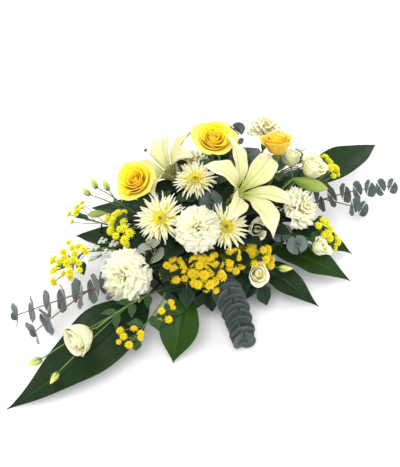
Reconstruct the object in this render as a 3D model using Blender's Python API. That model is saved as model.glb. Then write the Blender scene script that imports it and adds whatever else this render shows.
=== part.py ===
"""Casket spray: cut flowers and leaves stuck in a block of floral foam that stands in a plastic tray.

The spray is long and low. +X runs along it to its right-hand end, -Y is its front, and +Z is up. The origin
is the middle of the tray's underside. Every stem stands in its own plain hole in the foam. All sizes are in
metres.
"""

from math import acos, atan2, cos, log, pi, radians, sin
from random import Random

import bmesh
import bpy
from mathutils import Matrix, Vector

GAP = 0.0003  # between two pieces that rest on each other
UP = Vector((0, 0, 1))
GOLDEN_ANGLE = radians(137.508)

# Tray and foam
TRAY_LENGTH, TRAY_WIDTH, TRAY_HEIGHT, TRAY_WALL, TRAY_CORNER = 0.232, 0.112, 0.035, 0.002, 0.020
TRAY_LIP, TRAY_LIP_HEIGHT = 0.003, 0.003
FOAM_SLACK = 0.0005
FOAM_TOP, FOAM_EDGE = 0.078, 0.003
FOAM_LENGTH = TRAY_LENGTH - 2 * (TRAY_WALL + FOAM_SLACK)
FOAM_WIDTH = TRAY_WIDTH - 2 * (TRAY_WALL + FOAM_SLACK)

# Stems in the foam
HOLE_CLEARANCE = 0.00035
TOP_DEPTH, SIDE_DEPTH = 0.020, 0.026  # how far a stem goes in from the foam's top, and from its sides
COLLAR = 0.004  # how far a stem runs straight on outside its hole

BLADE_THICKNESS = 0.0009
# Outline of a eucalyptus leaf from its foot round to its foot, across and along, beside its size
ROUND_LEAF = ((0, 0), (0.9, 0.12), (1.3, 0.75), (0.75, 1.45), (-0.75, 1.45), (-1.3, 0.75), (-0.9, 0.12))
FLAT_ANGLE = radians(0.3)

MATERIALS = {  # colour, roughness
    "tray": ((0.03, 0.06, 0.03), 0.45),
    "foam": ((0.03, 0.07, 0.035), 0.95),
    "aspidistra": ((0.035, 0.080, 0.030), 0.35),
    "salal": ((0.025, 0.060, 0.030), 0.40),
    "eucalyptus": ((0.13, 0.18, 0.16), 0.65),
    "stem": ((0.10, 0.20, 0.05), 0.55),
    "rose": ((0.93, 0.60, 0.03), 0.55),
    "lily": ((0.90, 0.87, 0.60), 0.45),
    "carnation": ((0.92, 0.90, 0.76), 0.70),
    "mum": ((0.90, 0.87, 0.66), 0.60),
    "lisianthus": ((0.90, 0.88, 0.64), 0.55),
    "button": ((0.90, 0.66, 0.02), 0.65),
    "filler": ((0.50, 0.58, 0.36), 0.70),
}

# Aspidistra leaves: mouth of the hole, two points that steer the leaf, its tip, its width and where it is
# widest
ASPIDISTRA = {
    "left_end": ((-0.1135, -0.004, 0.048), (-0.200, -0.030, 0.052), (-0.320, -0.045, 0.038),
                 (-0.420, -0.015, 0.007), 0.100, 0.42),
    "right_end": ((0.1135, 0.002, 0.048), (0.220, -0.022, 0.074), (0.330, -0.020, 0.066),
                  (0.418, -0.002, 0.025), 0.070, 0.42),
    "front": ((-0.088, -0.0535, 0.048), (-0.122, -0.074, 0.082), (-0.160, -0.092, 0.064),
              (-0.190, -0.114, 0.008), 0.062, 0.62),
    "left_high": ((-0.042, 0.0535, 0.050), (-0.060, 0.100, 0.085), (-0.095, 0.150, 0.080),
                  (-0.105, 0.200, 0.050), 0.056, 0.42),
    "left_low": ((-0.092, 0.0535, 0.046), (-0.114, 0.085, 0.058), (-0.140, 0.128, 0.064),
                 (-0.163, 0.165, 0.048), 0.050, 0.48),
    "right_upper": ((0.092, -0.0535, 0.050), (0.112, -0.090, 0.072), (0.140, -0.130, 0.058),
                    (0.166, -0.158, 0.025), 0.044, 0.48),
    "right_middle": ((0.046, -0.0535, 0.046), (0.066, -0.100, 0.056), (0.105, -0.145, 0.042),
                     (0.130, -0.188, 0.010), 0.060, 0.42),
    "right_lower": ((0.016, -0.0535, 0.044), (0.022, -0.095, 0.050), (0.035, -0.145, 0.035),
                    (0.053, -0.188, 0.008), 0.052, 0.42),
    "rear_middle": ((0.006, 0.0535, 0.048), (0.015, 0.100, 0.070), (0.030, 0.150, 0.055),
                    (0.050, 0.198, 0.010), 0.070, 0.42),
    "rear_right": ((0.086, 0.0535, 0.048), (0.130, 0.090, 0.075), (0.190, 0.120, 0.060),
                   (0.255, 0.150, 0.012), 0.070, 0.42),
}
PETIOLE_RADIUS, PETIOLE_SHARE = 0.0022, 0.14
LONG_LEAF = 0.25  # a leaf longer than this is bent in more steps

# Salal sprigs: the stem's curve, then the size of a leaf and their number
SALAL = {
    "front": (((-0.016, -0.0535, 0.052), (-0.010, -0.085, 0.078), (-0.014, -0.114, 0.054)), 0.043, 4),
    "front_left": (((-0.098, -0.038, 0.078), (-0.104, -0.048, 0.086), (-0.118, -0.064, 0.087)), 0.040, 4),
    "left": (((-0.054, 0.040, 0.078), (-0.058, 0.064, 0.096), (-0.100, 0.100, 0.080)), 0.042, 4),
    "right": (((0.1135, 0.030, 0.060), (0.160, 0.030, 0.095), (0.205, -0.010, 0.098)), 0.050, 4),
    "rear": (((0.046, 0.0535, 0.056), (0.055, 0.090, 0.090), (0.062, 0.120, 0.095)), 0.055, 4),
}

# Eucalyptus: each branch's curve and its pairs of leaves, then the size of a leaf, how far the leaves lean
# forward from square across the stem, the turn of each pair about the stem from the last, and how far the
# pairs face the sky
EUCALYPTUS = {
    "left": ([(((-0.1135, 0.018, 0.044), (-0.220, 0.044, 0.067), (-0.330, 0.088, 0.050)), 7),
              (((-0.218, 0.048, 0.058), (-0.275, 0.050, 0.052), (-0.322, 0.053, 0.036)), 2)],
             0.0170, 12, 90, 0.3),
    "right": ([(((0.1135, -0.034, 0.048), (0.210, -0.068, 0.085), (0.324, -0.112, 0.050)), 7),
               (((0.190, -0.058, 0.068), (0.215, -0.092, 0.062), (0.245, -0.110, 0.045)), 2)],
              0.0125, 8, 90, 0.0),
    "front": ([(((-0.054, -0.0535, 0.048), (-0.066, -0.110, 0.074), (-0.094, -0.165, 0.028)), 6)],
              0.0162, 18, 90, 0.75),
    "front_right": ([(((0.034, -0.042, 0.078), (0.068, -0.070, 0.086), (0.059, -0.090, 0.098)), 1),
                     (((0.050, -0.058, 0.082), (0.074, -0.104, 0.068), (0.062, -0.122, 0.094)), 1)],
                    0.0132, 10, 90, 0.0),
    "centre_left": ([(((-0.078, -0.016, 0.078), (-0.135, -0.014, 0.086), (-0.131, 0.006, 0.129)), 2)],
                    0.0138, 10, 90, 0.0),
    "centre": ([(((-0.010, 0.004, 0.078), (0.010, 0.028, 0.112), (-0.018, -0.008, 0.158)), 2)],
               0.0152, 8, 90, 0.0),
    "top": ([(((0.064, 0.034, 0.078), (0.084, 0.056, 0.140), (0.082, 0.042, 0.214)), 4)],
            0.0125, 30, 90, 0.0),
}

# Roses: mouth of the hole, the head's base, the way it faces, how far it has opened
ROSES = {
    "left": ((-0.042, 0.036, 0.078), (-0.078, 0.089, 0.161), (-0.47, 0.00, 0.88), 0.85),
    "top": ((0.014, 0.014, 0.078), (0.032, 0.042, 0.208), (-0.10, -0.20, 0.97), 0.8),
    "right": ((0.046, -0.006, 0.078), (0.108, -0.024, 0.188), (0.20, 0.30, 0.93), 0.6),
}
# The rose's outer petals: how many, radius and height of their feet, length, slope at the foot and at the
# edge, half-angle
ROSE_PETALS = (
    (3, 0.0065, 0.0040, 0.031, 38, 82, 68),
    (5, 0.0065, 0.0025, 0.031, 14, 56, 42),
)
# The rolled middle of a rose, from the bottom up: radius, height
ROSE_MIDDLE = ((0.0060, 0), (0.0110, 0.005), (0.0135, 0.031), (0.0075, 0.016), (0.0070, 0.034))

# Lilies: mouth of the hole, the flower's base, the way it faces, its turn about that, then its bud's base,
# the way that the bud points and its length
LILIES = {
    "left": ((-0.018, 0.036, 0.078), (-0.010, 0.086, 0.133), (-0.36, 0.52, 0.78), 11,
             ((-0.126, 0.119, 0.111), (-0.60, 0.72, -0.25), 0.035)),
    "right": ((0.028, -0.014, 0.078), (0.0070, -0.0325, 0.170), (0.30, -0.56, 0.77), 54,
              ((0.110, -0.056, 0.160), (0.62, -0.72, -0.25), 0.062)),
}
TEPAL_LENGTH, TEPAL_RISE, TEPAL_FALL = 0.098, 64, -22
PISTIL_LENGTH = 0.072

# Carnations: mouth of the hole, the head's base, the way it faces, its size beside a common one
CARNATIONS = {
    "left": ((-0.1135, 0.004, 0.064), (-0.166, 0.012, 0.082), (-0.70, -0.25, 0.66), 1.20),
    "middle": ((-0.044, -0.016, 0.078), (-0.068, -0.033, 0.148), (-0.35, -0.45, 0.82), 1.02),
    "right": ((0.062, -0.040, 0.078), (0.094, -0.078, 0.117), (0.45, -0.65, 0.60), 1.0),
    "top": ((0.064, 0.012, 0.078), (0.132, 0.026, 0.181), (0.45, 0.35, 0.82), 0.90),
    "rear": ((0.020, 0.042, 0.078), (0.030, 0.088, 0.125), (0.10, 0.70, 0.70), 1.0),
}
# Frilled layers of a carnation, from the bottom up: radius and height of the foot above it, then of its edge
CARNATION_LAYERS = (
    (0.0055, 0.000, 0.034, 0.007),
    (0.0085, 0.007, 0.030, 0.018),
    (0.0070, 0.011, 0.022, 0.027),
    (0.0045, 0.016, 0.012, 0.032),
)
CARNATION_FRILL = 0.0032
CARNATION_POINTS = 12

# Spider chrysanthemums: one branching stem, and each head's base, the way it faces and the reach of its rays
MUM_STEM = ((-0.042, 0.012, 0.078), (-0.042, 0.012, 0.095), (-0.042, 0.012, 0.106))
MUMS = {
    "left": ((-0.086, 0.028, 0.137), (-0.55, -0.20, 0.81), 0.044),
    "top": ((-0.010, 0.036, 0.164), (-0.20, -0.10, 0.97), 0.037),
    "right": ((-0.025, -0.047, 0.134), (-0.15, -0.55, 0.82), 0.039),
}
MUM_RAYS = 12
# Layers of rays, from the bottom up: radius and height of the foot, share of the reach, slope, radius of the
# notches between the rays
MUM_LAYERS = ((0.0065, 0.000, 1.00, 10, 0.0150), (0.0085, 0.0045, 0.80, 36, 0.0120))

# Lisianthus: the stem's curve, its blooms (base, facing, size), and its buds (base, direction, length)
LISIANTHUS = {
    "left_end": (((-0.1135, -0.028, 0.050), (-0.190, -0.030, 0.090), (-0.262, -0.026, 0.069)),
                 (((-0.270, -0.024, 0.070), (-0.98, -0.05, 0.10), 0.034),),
                 (((-0.345, -0.004, 0.048), (-0.8, 0.2, 0.0), 0.024),
                  ((-0.338, -0.034, 0.042), (-0.8, -0.3, -0.1), 0.022))),
    "front_upper": (((0.016, -0.044, 0.078), (0.022, -0.056, 0.094), (0.030, -0.062, 0.102)),
                    (((0.023, -0.063, 0.108), (-0.20, -0.60, 0.75), 0.020),
                     ((0.040, -0.067, 0.110), (0.30, -0.40, 0.80), 0.018)),
                    ()),
    "front_lower": (((-0.004, -0.044, 0.078), (-0.008, -0.082, 0.082), (-0.012, -0.102, 0.072)),
                    (((-0.014, -0.106, 0.068), (-0.20, -0.60, 0.72), 0.021),),
                    (((0.020, -0.122, 0.070), (0.6, -0.7, 0.1), 0.024),)),
    "right": (((0.070, -0.0535, 0.052), (0.078, -0.092, 0.082), (0.090, -0.128, 0.074)),
              (((0.092, -0.134, 0.068), (0.30, -0.50, 0.75), 0.021),), ()),
    "upper_right": (((0.076, -0.026, 0.078), (0.110, -0.045, 0.125), (0.125, -0.052, 0.140)),
                    (((0.140, -0.062, 0.152), (0.40, -0.30, 0.85), 0.030),
                     ((0.138, -0.030, 0.152), (0.20, 0.30, 0.95), 0.024)),
                    ()),
}

# Sprays of button chrysanthemums: the stem's curve, then patches of heads: the middle, the way the patch
# faces, its half-length level across, its half-length up the slope, and the number of heads
BUTTON_SPRAYS = {
    "front": (((-0.066, -0.042, 0.078), (-0.072, -0.050, 0.088), (-0.078, -0.056, 0.092)),
              (((-0.118, -0.046, 0.108), (-0.50, -0.40, 0.76), 0.024, 0.024, 6),
               ((-0.090, -0.082, 0.106), (-0.30, -0.60, 0.74), 0.024, 0.026, 7),
               ((-0.044, -0.090, 0.110), (-0.10, -0.65, 0.76), 0.020, 0.018, 3),
               ((0.006, -0.112, 0.098), (0.10, -0.75, 0.66), 0.020, 0.016, 3))),
    "left": (((-0.1135, 0.036, 0.052), (-0.165, 0.095, 0.090), (-0.200, 0.104, 0.074)),
             (((-0.225, 0.100, 0.086), (-0.55, 0.10, 0.83), 0.028, 0.038, 8),)),
    "left_rear": (((-0.082, 0.034, 0.078), (-0.100, 0.068, 0.110), (-0.118, 0.078, 0.100)),
                  (((-0.150, 0.176, 0.092), (-0.35, 0.55, 0.76), 0.018, 0.020, 3),
                   ((-0.138, 0.078, 0.122), (-0.60, 0.15, 0.80), 0.036, 0.020, 6))),
    "left_front": (((-0.1135, -0.022, 0.066), (-0.145, -0.050, 0.088), (-0.172, -0.064, 0.076)),
                   (((-0.168, -0.076, 0.082), (-0.15, -0.45, 0.88), 0.020, 0.016, 3),
                    ((-0.236, -0.076, 0.076), (-0.25, -0.25, 0.93), 0.030, 0.014, 4))),
    "right": (((0.098, -0.032, 0.078), (0.125, -0.056, 0.098), (0.145, -0.066, 0.095)),
              (((0.226, -0.044, 0.116), (0.50, -0.25, 0.83), 0.030, 0.016, 4),
               ((0.126, -0.134, 0.090), (0.25, -0.65, 0.72), 0.016, 0.028, 4))),
}
BUTTON_SIZES = (0.0074, 0.0094)

# Fine filler: the stem's curve, then the patch that its florets fill, as for the buttons
FILLERS = {
    "left": (((-0.104, 0.030, 0.078), (-0.130, 0.048, 0.105), (-0.155, 0.066, 0.096)),
             ((-0.180, 0.074, 0.094), (-0.50, 0.05, 0.85), 0.030, 0.027, 7)),
    "right": (((0.098, 0.010, 0.078), (0.150, 0.005, 0.125), (0.175, -0.015, 0.120)),
              ((0.196, -0.016, 0.136), (0.40, -0.15, 0.90), 0.030, 0.024, 7)),
}

# Leaves that the flower stems carry: place along the stem, turn about it in degrees, length
STEM_LEAVES = ((0.50, 20, 0.034), (0.68, 170, 0.036))


# Scene and materials


def clear_scene():
    for obj in list(bpy.data.objects):
        bpy.data.objects.remove(obj)


def new_collection(name):
    collection = bpy.data.collections.new(name)
    bpy.context.scene.collection.children.link(collection)
    return collection


def material(name):
    """A Principled material of the named colour, made once."""
    found = bpy.data.materials.get(name)
    if found:
        return found
    colour, roughness = MATERIALS[name]
    made = bpy.data.materials.new(name)
    made.use_nodes = True
    made.diffuse_color = (*colour, 1)
    shader = made.node_tree.nodes["Principled BSDF"]
    shader.inputs["Base Color"].default_value = (*colour, 1)
    shader.inputs["Roughness"].default_value = roughness
    shader.inputs["Metallic"].default_value = 0
    return made


def add_object(name, bm, collection):
    mesh = bpy.data.meshes.new(name)
    bm.to_mesh(mesh)
    bm.free()
    obj = bpy.data.objects.new(name, mesh)
    collection.objects.link(obj)
    return obj


def finish_part(obj, slot):
    obj.data.materials.clear()
    obj.data.materials.append(material(slot))
    return obj


# Shapes that every plant is made of


def blade(across, along, shape):
    """A flat grid moved by shape(u, v), u from -1 to 1 across and v from 0 to 1 along, then thickened."""
    bm = bmesh.new()
    bmesh.ops.create_grid(bm, x_segments=across, y_segments=along, size=1)
    for vert in bm.verts:
        vert.co = shape(vert.co.x, (vert.co.y + 1) / 2)
    bmesh.ops.triangulate(bm, faces=bm.faces)
    bmesh.ops.solidify(bm, geom=bm.faces, thickness=BLADE_THICKNESS)
    bmesh.ops.triangulate(bm, faces=bm.faces)
    bmesh.ops.recalc_face_normals(bm, faces=bm.faces)
    return bm


def rod(points, radius, sides=0):
    """A bent rod through the points, closed at both ends. Thin ones have four sides."""
    sides = sides or (6 if radius > 0.0023 else 4)
    curve = bpy.data.curves.new("rod", "CURVE")
    curve.dimensions = "3D"
    curve.bevel_depth = radius
    curve.bevel_resolution = sides // 2 - 2
    curve.use_fill_caps = True
    spline = curve.splines.new("POLY")
    spline.points.add(len(points) - 1)
    for spot, place in zip(spline.points, points):
        spot.co = (*place, 1)
    helper = bpy.data.objects.new("rod", curve)
    bpy.context.scene.collection.objects.link(helper)
    graph = bpy.context.evaluated_depsgraph_get()
    mesh = bpy.data.meshes.new_from_object(helper.evaluated_get(graph))
    bm = bmesh.new()
    bm.from_mesh(mesh)
    bm.transform(helper.matrix_world)
    bmesh.ops.remove_doubles(bm, verts=bm.verts, dist=0.00001)
    bmesh.ops.triangulate(bm, faces=bm.faces)
    bmesh.ops.recalc_face_normals(bm, faces=bm.faces)
    bpy.data.objects.remove(helper)
    bpy.data.curves.remove(curve)
    bpy.data.meshes.remove(mesh)
    return bm


def cone(lower_radius, upper_radius, height, sides, base=0.0):
    """A closed cone or cylinder standing on the level of its base."""
    bm = bmesh.new()
    bmesh.ops.create_cone(
        bm, cap_ends=True, segments=sides, radius1=lower_radius, radius2=upper_radius, depth=height
    )
    bmesh.ops.translate(bm, verts=bm.verts, vec=(0, 0, base + height / 2))
    bmesh.ops.triangulate(bm, faces=bm.faces)
    return bm


def ringed(rings, points, place):
    """A ball. place(ring, point) moves its rings, counted from the lower pole, and the points on them."""
    bm = bmesh.new()
    bmesh.ops.create_uvsphere(bm, u_segments=points, v_segments=rings + 1, radius=1)
    for vert in bm.verts:
        ring = round(acos(max(-1, min(1, -vert.co.z))) * (rings + 1) / pi) - 1
        point = round(atan2(vert.co.y, vert.co.x) * points / (2 * pi)) % points
        radius, turn, height = place(ring, point)
        vert.co = (radius * cos(turn), radius * sin(turn), height)
    bmesh.ops.triangulate(bm, faces=bm.faces)
    bmesh.ops.recalc_face_normals(bm, faces=bm.faces)
    return bm


def star(points, outer, inner, droop, base):
    """A flat star round the axis, such as a ring of sepals."""
    bm = bmesh.new()
    bmesh.ops.create_circle(bm, cap_ends=True, cap_tris=True, segments=2 * points, radius=1)
    for vert in bm.verts:
        if vert.co.length > 0.5:
            tip = round(atan2(vert.co.y, vert.co.x) * points / pi) % 2
            vert.co = vert.co * (outer if tip else inner) - UP * (droop if tip else 0)
    bmesh.ops.translate(bm, verts=bm.verts, vec=(0, 0, base))
    bmesh.ops.solidify(bm, geom=bm.faces, thickness=BLADE_THICKNESS)
    bmesh.ops.triangulate(bm, faces=bm.faces)
    bmesh.ops.recalc_face_normals(bm, faces=bm.faces)
    return bm


def spindle(length, radius, rings=3, sides=6):
    """A bud: a long ball with its lower end at the origin."""
    bm = bmesh.new()
    bmesh.ops.create_uvsphere(bm, u_segments=sides, v_segments=rings + 1, radius=1)
    bmesh.ops.scale(bm, verts=bm.verts, vec=(radius, radius, length / 2))
    bmesh.ops.translate(bm, verts=bm.verts, vec=(0, 0, length / 2))
    bmesh.ops.triangulate(bm, faces=bm.faces)
    return bm


def twig(start, end, radius):
    """A thin three-sided stalk."""
    start, end = Vector(start), Vector(end)
    bm = cone(radius, radius, (end - start).length, 3)
    bm.transform(facing_frame(start, end - start))
    return bm


def facing_frame(place, direction, spin=0.0):
    """The axes of a flower at a place: Z the way it faces, turned about that by the spin."""
    turn = Vector(direction).to_track_quat("Z", "Y").to_matrix().to_4x4()
    return Matrix.Translation(place) @ turn @ Matrix.Rotation(spin, 4, "Z")


def placed(pieces, frame):
    for bm in pieces:
        bm.transform(frame)
    return pieces


def join_flat_faces(obj):
    """Joins the slivers that a Boolean leaves in flat faces."""
    flat = obj.modifiers.new("flat_faces", "DECIMATE")
    flat.decimate_type = "DISSOLVE"
    flat.angle_limit = FLAT_ANGLE


def remove_slivers(mesh):
    bm = bmesh.new()
    bm.from_mesh(mesh)
    bmesh.ops.triangulate(bm, faces=bm.faces)
    bmesh.ops.dissolve_degenerate(bm, edges=bm.edges, dist=0.00002)
    bm.to_mesh(mesh)
    bm.free()


def fuse(name, pieces, slot):
    """One node: the pieces joined into one closed body."""
    helpers = bpy.data.collections.new("pieces of " + name)
    body = add_object(name, pieces[0], helpers)
    helpers.objects.unlink(body)
    PARTS.objects.link(body)
    for bm in pieces[1:]:
        add_object("piece", bm, helpers)
    if len(pieces) > 1:
        union = body.modifiers.new("union", "BOOLEAN")
        union.operation = "UNION"
        union.operand_type = "COLLECTION"
        union.collection = helpers
        union.solver = "MANIFOLD"
        join_flat_faces(body)
        graph = bpy.context.evaluated_depsgraph_get()
        joined = bpy.data.meshes.new_from_object(body.evaluated_get(graph))
        remove_slivers(joined)
        body.modifiers.clear()
        body.data = joined
        joined.name = name
    for helper in list(helpers.objects):
        bpy.data.objects.remove(helper)
    bpy.data.collections.remove(helpers)
    return finish_part(body, slot)


# Curves and outlines


def bezier(points, share):
    """The place at this share of the curve that the points steer."""
    points = [Vector(point) for point in points]
    while len(points) > 1:
        points = [a.lerp(b, share) for a, b in zip(points, points[1:])]
    return points[0]


def heading(points, share):
    step = 0.01
    return (bezier(points, min(share + step, 1)) - bezier(points, max(share - step, 0))).normalized()


def outline(share, widest, least, fineness=1.0):
    """Half-width of a leaf along its length, from 0 to 1 and back, never under the least."""
    return max(least, sin(pi * share ** (log(0.5) / log(widest))) ** fineness)


def arc(radius, height, length, start_slope, end_slope):
    """The middle line of a petal: its radius, height and slope at each share of its length."""
    start, turn = radians(start_slope), radians(end_slope - start_slope)

    def at(share):
        slope = start + turn * share
        bend = length / turn
        return radius + bend * (sin(slope) - sin(start)), height - bend * (cos(slope) - cos(start)), slope

    return at


def spot(path, share):
    """The place at a share of a path of straight pieces, and the way the path goes there."""
    lengths = [(b - a).length for a, b in zip(path, path[1:])]
    left = share * sum(lengths)
    for a, b, length in zip(path, path[1:], lengths):
        if left <= length or b is path[-1]:
            return a.lerp(b, min(left / length, 1)), (b - a).normalized()
        left -= length


def bent(points, steps):
    return [bezier(points, i / steps) for i in range(steps + 1)]


# Stems in the foam


def drill(inner_end, direction, radius, depth):
    """Adds the cutter of the plain hole that a stem stands in."""
    points = (inner_end - direction * GAP, inner_end + direction * (depth + 0.012))
    cutter = add_object(f"hole_{len(CUTTERS.objects) + 1:02d}", rod(points, radius + HOLE_CLEARANCE), CUTTERS)
    cutter.hide_render = True
    cutter.display_type = "WIRE"


def rooted(points, radius, steps):
    """The places along a stem from its end in the foam, and the hole for it."""
    mouth = Vector(points[0])
    direction = heading(points, 0)
    depth = TOP_DEPTH if mouth.z > FOAM_TOP - 0.001 else SIDE_DEPTH
    inner_end = mouth - direction * depth
    drill(inner_end, direction, radius, depth)
    return [inner_end, mouth + direction * COLLAR] + bent(points, steps)[1:]


def bloom_curve(mouth, base, facing):
    """The curve of a stem that ends square under its flower."""
    mouth, base, facing = Vector(mouth), Vector(base), Vector(facing).normalized()
    return (mouth, base - facing * 0.4 * (base - mouth).length, base)


def bloom_path(mouth, base, facing, radius):
    curve = bloom_curve(mouth, base, facing)
    return rooted(curve[:-1] + (curve[-1] - Vector(facing).normalized() * 0.004,), radius, 2)


# Leaves


def long_leaf(points, width, widest, across, along):
    """The blade of a strap-like leaf on a curved midrib, channelled and slightly waved."""

    def shape(u, v):
        share = PETIOLE_SHARE + (1 - PETIOLE_SHARE) * v
        ahead = heading(points, share)
        side = ahead.cross(UP).normalized()
        above = side.cross(ahead)
        half = width / 2 * outline(v, widest, 0.012, 1.2)
        lift = half * (0.22 * abs(u) ** 1.5 + 0.08 * u * sin(7 * v))
        return bezier(points, share) + side * u * half + above * lift

    return blade(across, along, shape)


def small_leaf(base, direction, length, half_width, across=2, along=2):
    """A leaf that leaves its stem in a direction and droops."""
    direction = Vector(direction).normalized()
    side = direction.cross(UP).normalized()
    above = side.cross(direction)

    def shape(u, v):
        half = half_width * outline(v, 0.45, 0.05)
        lift = 0.3 * half * abs(u) - 0.25 * length * v * v
        return Vector(base) + direction * length * v + side * u * half + above * lift

    return blade(across, along, shape)


def stem_leaves(path, half_width):
    """Small leaves along a flower's stem."""
    leaves = []
    for share, turn, length in STEM_LEAVES:
        place, ahead = spot(path, share)
        out = Matrix.Rotation(radians(turn), 3, ahead) @ ahead.orthogonal()
        leaves.append(small_leaf(place, out + ahead * 0.5, length, half_width, 1, 2))
    return leaves


def make_aspidistra(name, leaf):
    *points, width, widest = leaf
    inner_end, collar = rooted(points, PETIOLE_RADIUS, 1)[:2]
    overlap = 0.0008 / (Vector(points[0]) - Vector(points[-1])).length
    stalk = [inner_end, collar, bezier(points, PETIOLE_SHARE + overlap)]
    across, along = (4, 5) if (Vector(points[0]) - Vector(points[-1])).length > LONG_LEAF else (2, 4)
    pieces = [rod(stalk, PETIOLE_RADIUS), long_leaf(points, width, widest, across, along)]
    fuse("aspidistra_" + name, pieces, "aspidistra")


def make_salal(name, points, size, count):
    path = rooted(points, 0.0018, 3)
    pieces = [rod(path, 0.0018)]
    for i in range(count):
        place, ahead = spot(path[1:], 0.42 + 0.57 * i / (count - 1))
        side = ahead.cross(UP).normalized() * (1 if i % 2 else -1)
        direction = ahead if i == count - 1 else ahead * 0.45 + side + UP * 0.15
        pieces.append(small_leaf(place, direction, size, size * 0.30))
    fuse("salal_" + name, pieces, "salal")


def round_leaf(place, along, normal, size):
    """A round eucalyptus leaf, its foot in the stem."""
    bm = bmesh.new()
    bm.faces.new([bm.verts.new((across * size, up * size + 0.0003, 0)) for across, up in ROUND_LEAF])
    bm.normal_update()
    bmesh.ops.solidify(bm, geom=bm.faces, thickness=BLADE_THICKNESS)
    bmesh.ops.triangulate(bm, faces=bm.faces)
    bmesh.ops.recalc_face_normals(bm, faces=bm.faces)
    frame = Matrix((along.cross(normal), along, normal)).transposed().to_4x4()
    bm.transform(Matrix.Translation(place) @ frame)
    return bm


def leaf_pair(ahead, turn, lean, lift):
    """The way each leaf of a pair points, and the way its face looks."""
    ahead = (ahead + UP * lift).normalized()
    side = Matrix.Rotation(turn, 3, ahead) @ ahead.cross(UP).normalized()
    for out in (side, -side):
        yield out * cos(lean) + ahead * sin(lean), ahead * cos(lean) - out * sin(lean)


def make_eucalyptus(name, branches, leaf_size, lean, twist, lift):
    pieces = []
    for points, pairs in branches:
        thickness = 0.0013 if pieces else 0.0017
        path = bent(points, 3) if pieces else rooted(points, thickness, 3)
        pieces.append(rod(path, thickness))
        for i in range(pairs):
            place, ahead = spot(path[-4:], 0.985 - (0.70 if pairs > 3 else 0.45) * i / pairs)
            size = leaf_size * (0.82 + 0.28 * i / pairs)
            for along, normal in leaf_pair(ahead, radians(twist * i), radians(lean), lift):
                pieces.append(round_leaf(place, along, normal, size))
    fuse("eucalyptus_" + name, pieces, "eucalyptus")


# Flowers


def wrapped_petal(middle, turn, half_angle, droop, across, along):
    """A petal bent round the flower's axis. One edge lies further out, so it passes its neighbour."""

    def shape(u, v):
        radius, height, _ = middle(v)
        radius *= 1 + 0.10 * u
        angle = turn + u * half_angle * (0.12 + 2.79 * v - 2.06 * v * v)
        return Vector((radius * cos(angle), radius * sin(angle), height - droop * u * u * v))

    return blade(across, along, shape)


def open_petal(middle, turn, half_width, across, along):
    """A petal spread from its middle line. half_width(u, v) gives its half-width and its lift."""

    def shape(u, v):
        radius, height, slope = middle(v)
        half, lift = half_width(u, v)
        radius -= sin(slope) * lift
        height += cos(slope) * lift
        side = u * half
        return Vector((radius * cos(turn) - side * sin(turn), radius * sin(turn) + side * cos(turn), height))

    return blade(across, along, shape)


def rolled_middle(rings, points, top):
    """The rolled middle of a flower: nested cups whose edges wind outwards."""

    def place(ring, point):
        turn = 2 * pi * point / points
        if not 0 <= ring < len(rings):
            return 0, 0, 0 if ring < 0 else top
        radius, height = rings[ring]
        if ring > 1:
            radius *= 0.90 + 0.20 * point / points
            height += 0.0015 * cos(2 * turn + ring)
        return radius, turn, height

    return ringed(len(rings), points, place)


def rose_head(rng, opening):
    pieces = [rolled_middle(ROSE_MIDDLE, 7, 0.024)]
    for ring, (count, radius, height, length, start, end, half_angle) in enumerate(ROSE_PETALS):
        for i in range(count):
            turn = 2 * pi * i / count + GOLDEN_ANGLE * ring
            lean = rng.uniform(-4, 4)
            slopes = [90 - (90 - slope) * opening + lean for slope in (start, end)]
            middle = arc(radius, height, length, *slopes)
            pieces.append(wrapped_petal(middle, turn, radians(half_angle), 0.004, 3, 2))
    return pieces


def make_rose(name, mouth, base, facing, opening):
    rng = Random("rose " + name)
    facing = Vector(facing).normalized()
    frame = facing_frame(Vector(base) + facing * GAP, facing, rng.uniform(0, 2 * pi))
    fuse("rose_" + name, placed(rose_head(rng, opening), frame), "rose")
    calyx = [cone(0.0030, 0.0052, 0.010, 6, -0.010), star(5, 0.022, 0.005, 0.010, -0.003)]
    path = bloom_path(mouth, base, facing, 0.0024)
    pieces = [rod(path, 0.0024)] + placed(calyx, facing_frame(base, facing)) + stem_leaves(path, 0.012)
    fuse(f"rose_{name}_stem", pieces, "stem")


def make_lily(name, mouth, base, facing, spin, bud):
    facing = Vector(facing).normalized()
    pieces = [cone(0.0045, 0.0090, 0.016, 6)]
    for i in range(6):
        inner = i % 2
        wide = 0.0210 if inner else 0.0150
        foot = (0.0035, 0.006) if inner else (0.0045, 0.004)
        middle = arc(*foot, TEPAL_LENGTH, TEPAL_RISE, TEPAL_FALL)

        def tepal(u, v):
            half = wide * outline(v, 0.56, 0.08, 1.3)
            return half, half * (0.30 * abs(u) + 0.10 * u * sin(9 * v))

        pieces.append(open_petal(middle, i * pi / 3, tepal, 2, 5))
    pieces.append(rod([Vector((0, 0, 0.008)), Vector((0.004, 0, PISTIL_LENGTH))], 0.0013))
    pieces += placed([cone(0.0014, 0.0030, 0.004, 6)], Matrix.Translation((0.004, 0, PISTIL_LENGTH - 0.001)))
    frame = facing_frame(Vector(base) + facing * GAP, facing, radians(spin))
    fuse("lily_" + name, placed(pieces, frame), "lily")
    path = bloom_path(mouth, base, facing, 0.0026)
    stem = [rod(path, 0.0026)] + stem_leaves(path, 0.008)
    stem += placed([cone(0.0030, 0.0045, 0.010, 6, -0.010)], facing_frame(base, facing))
    fork = spot(path[1:], 0.20)[0]
    bud_base, bud_way, bud_length = bud
    tip = Vector(bud_base) + Vector(bud_way) * 0.003
    stem.append(rod(bent((fork, (fork + tip) / 2 - UP * 0.024, tip), 3), 0.0016))
    stem += placed([spindle(bud_length, bud_length * 0.17, 4)], facing_frame(bud_base, bud_way))
    fuse(f"lily_{name}_stem", stem, "stem")


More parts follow.
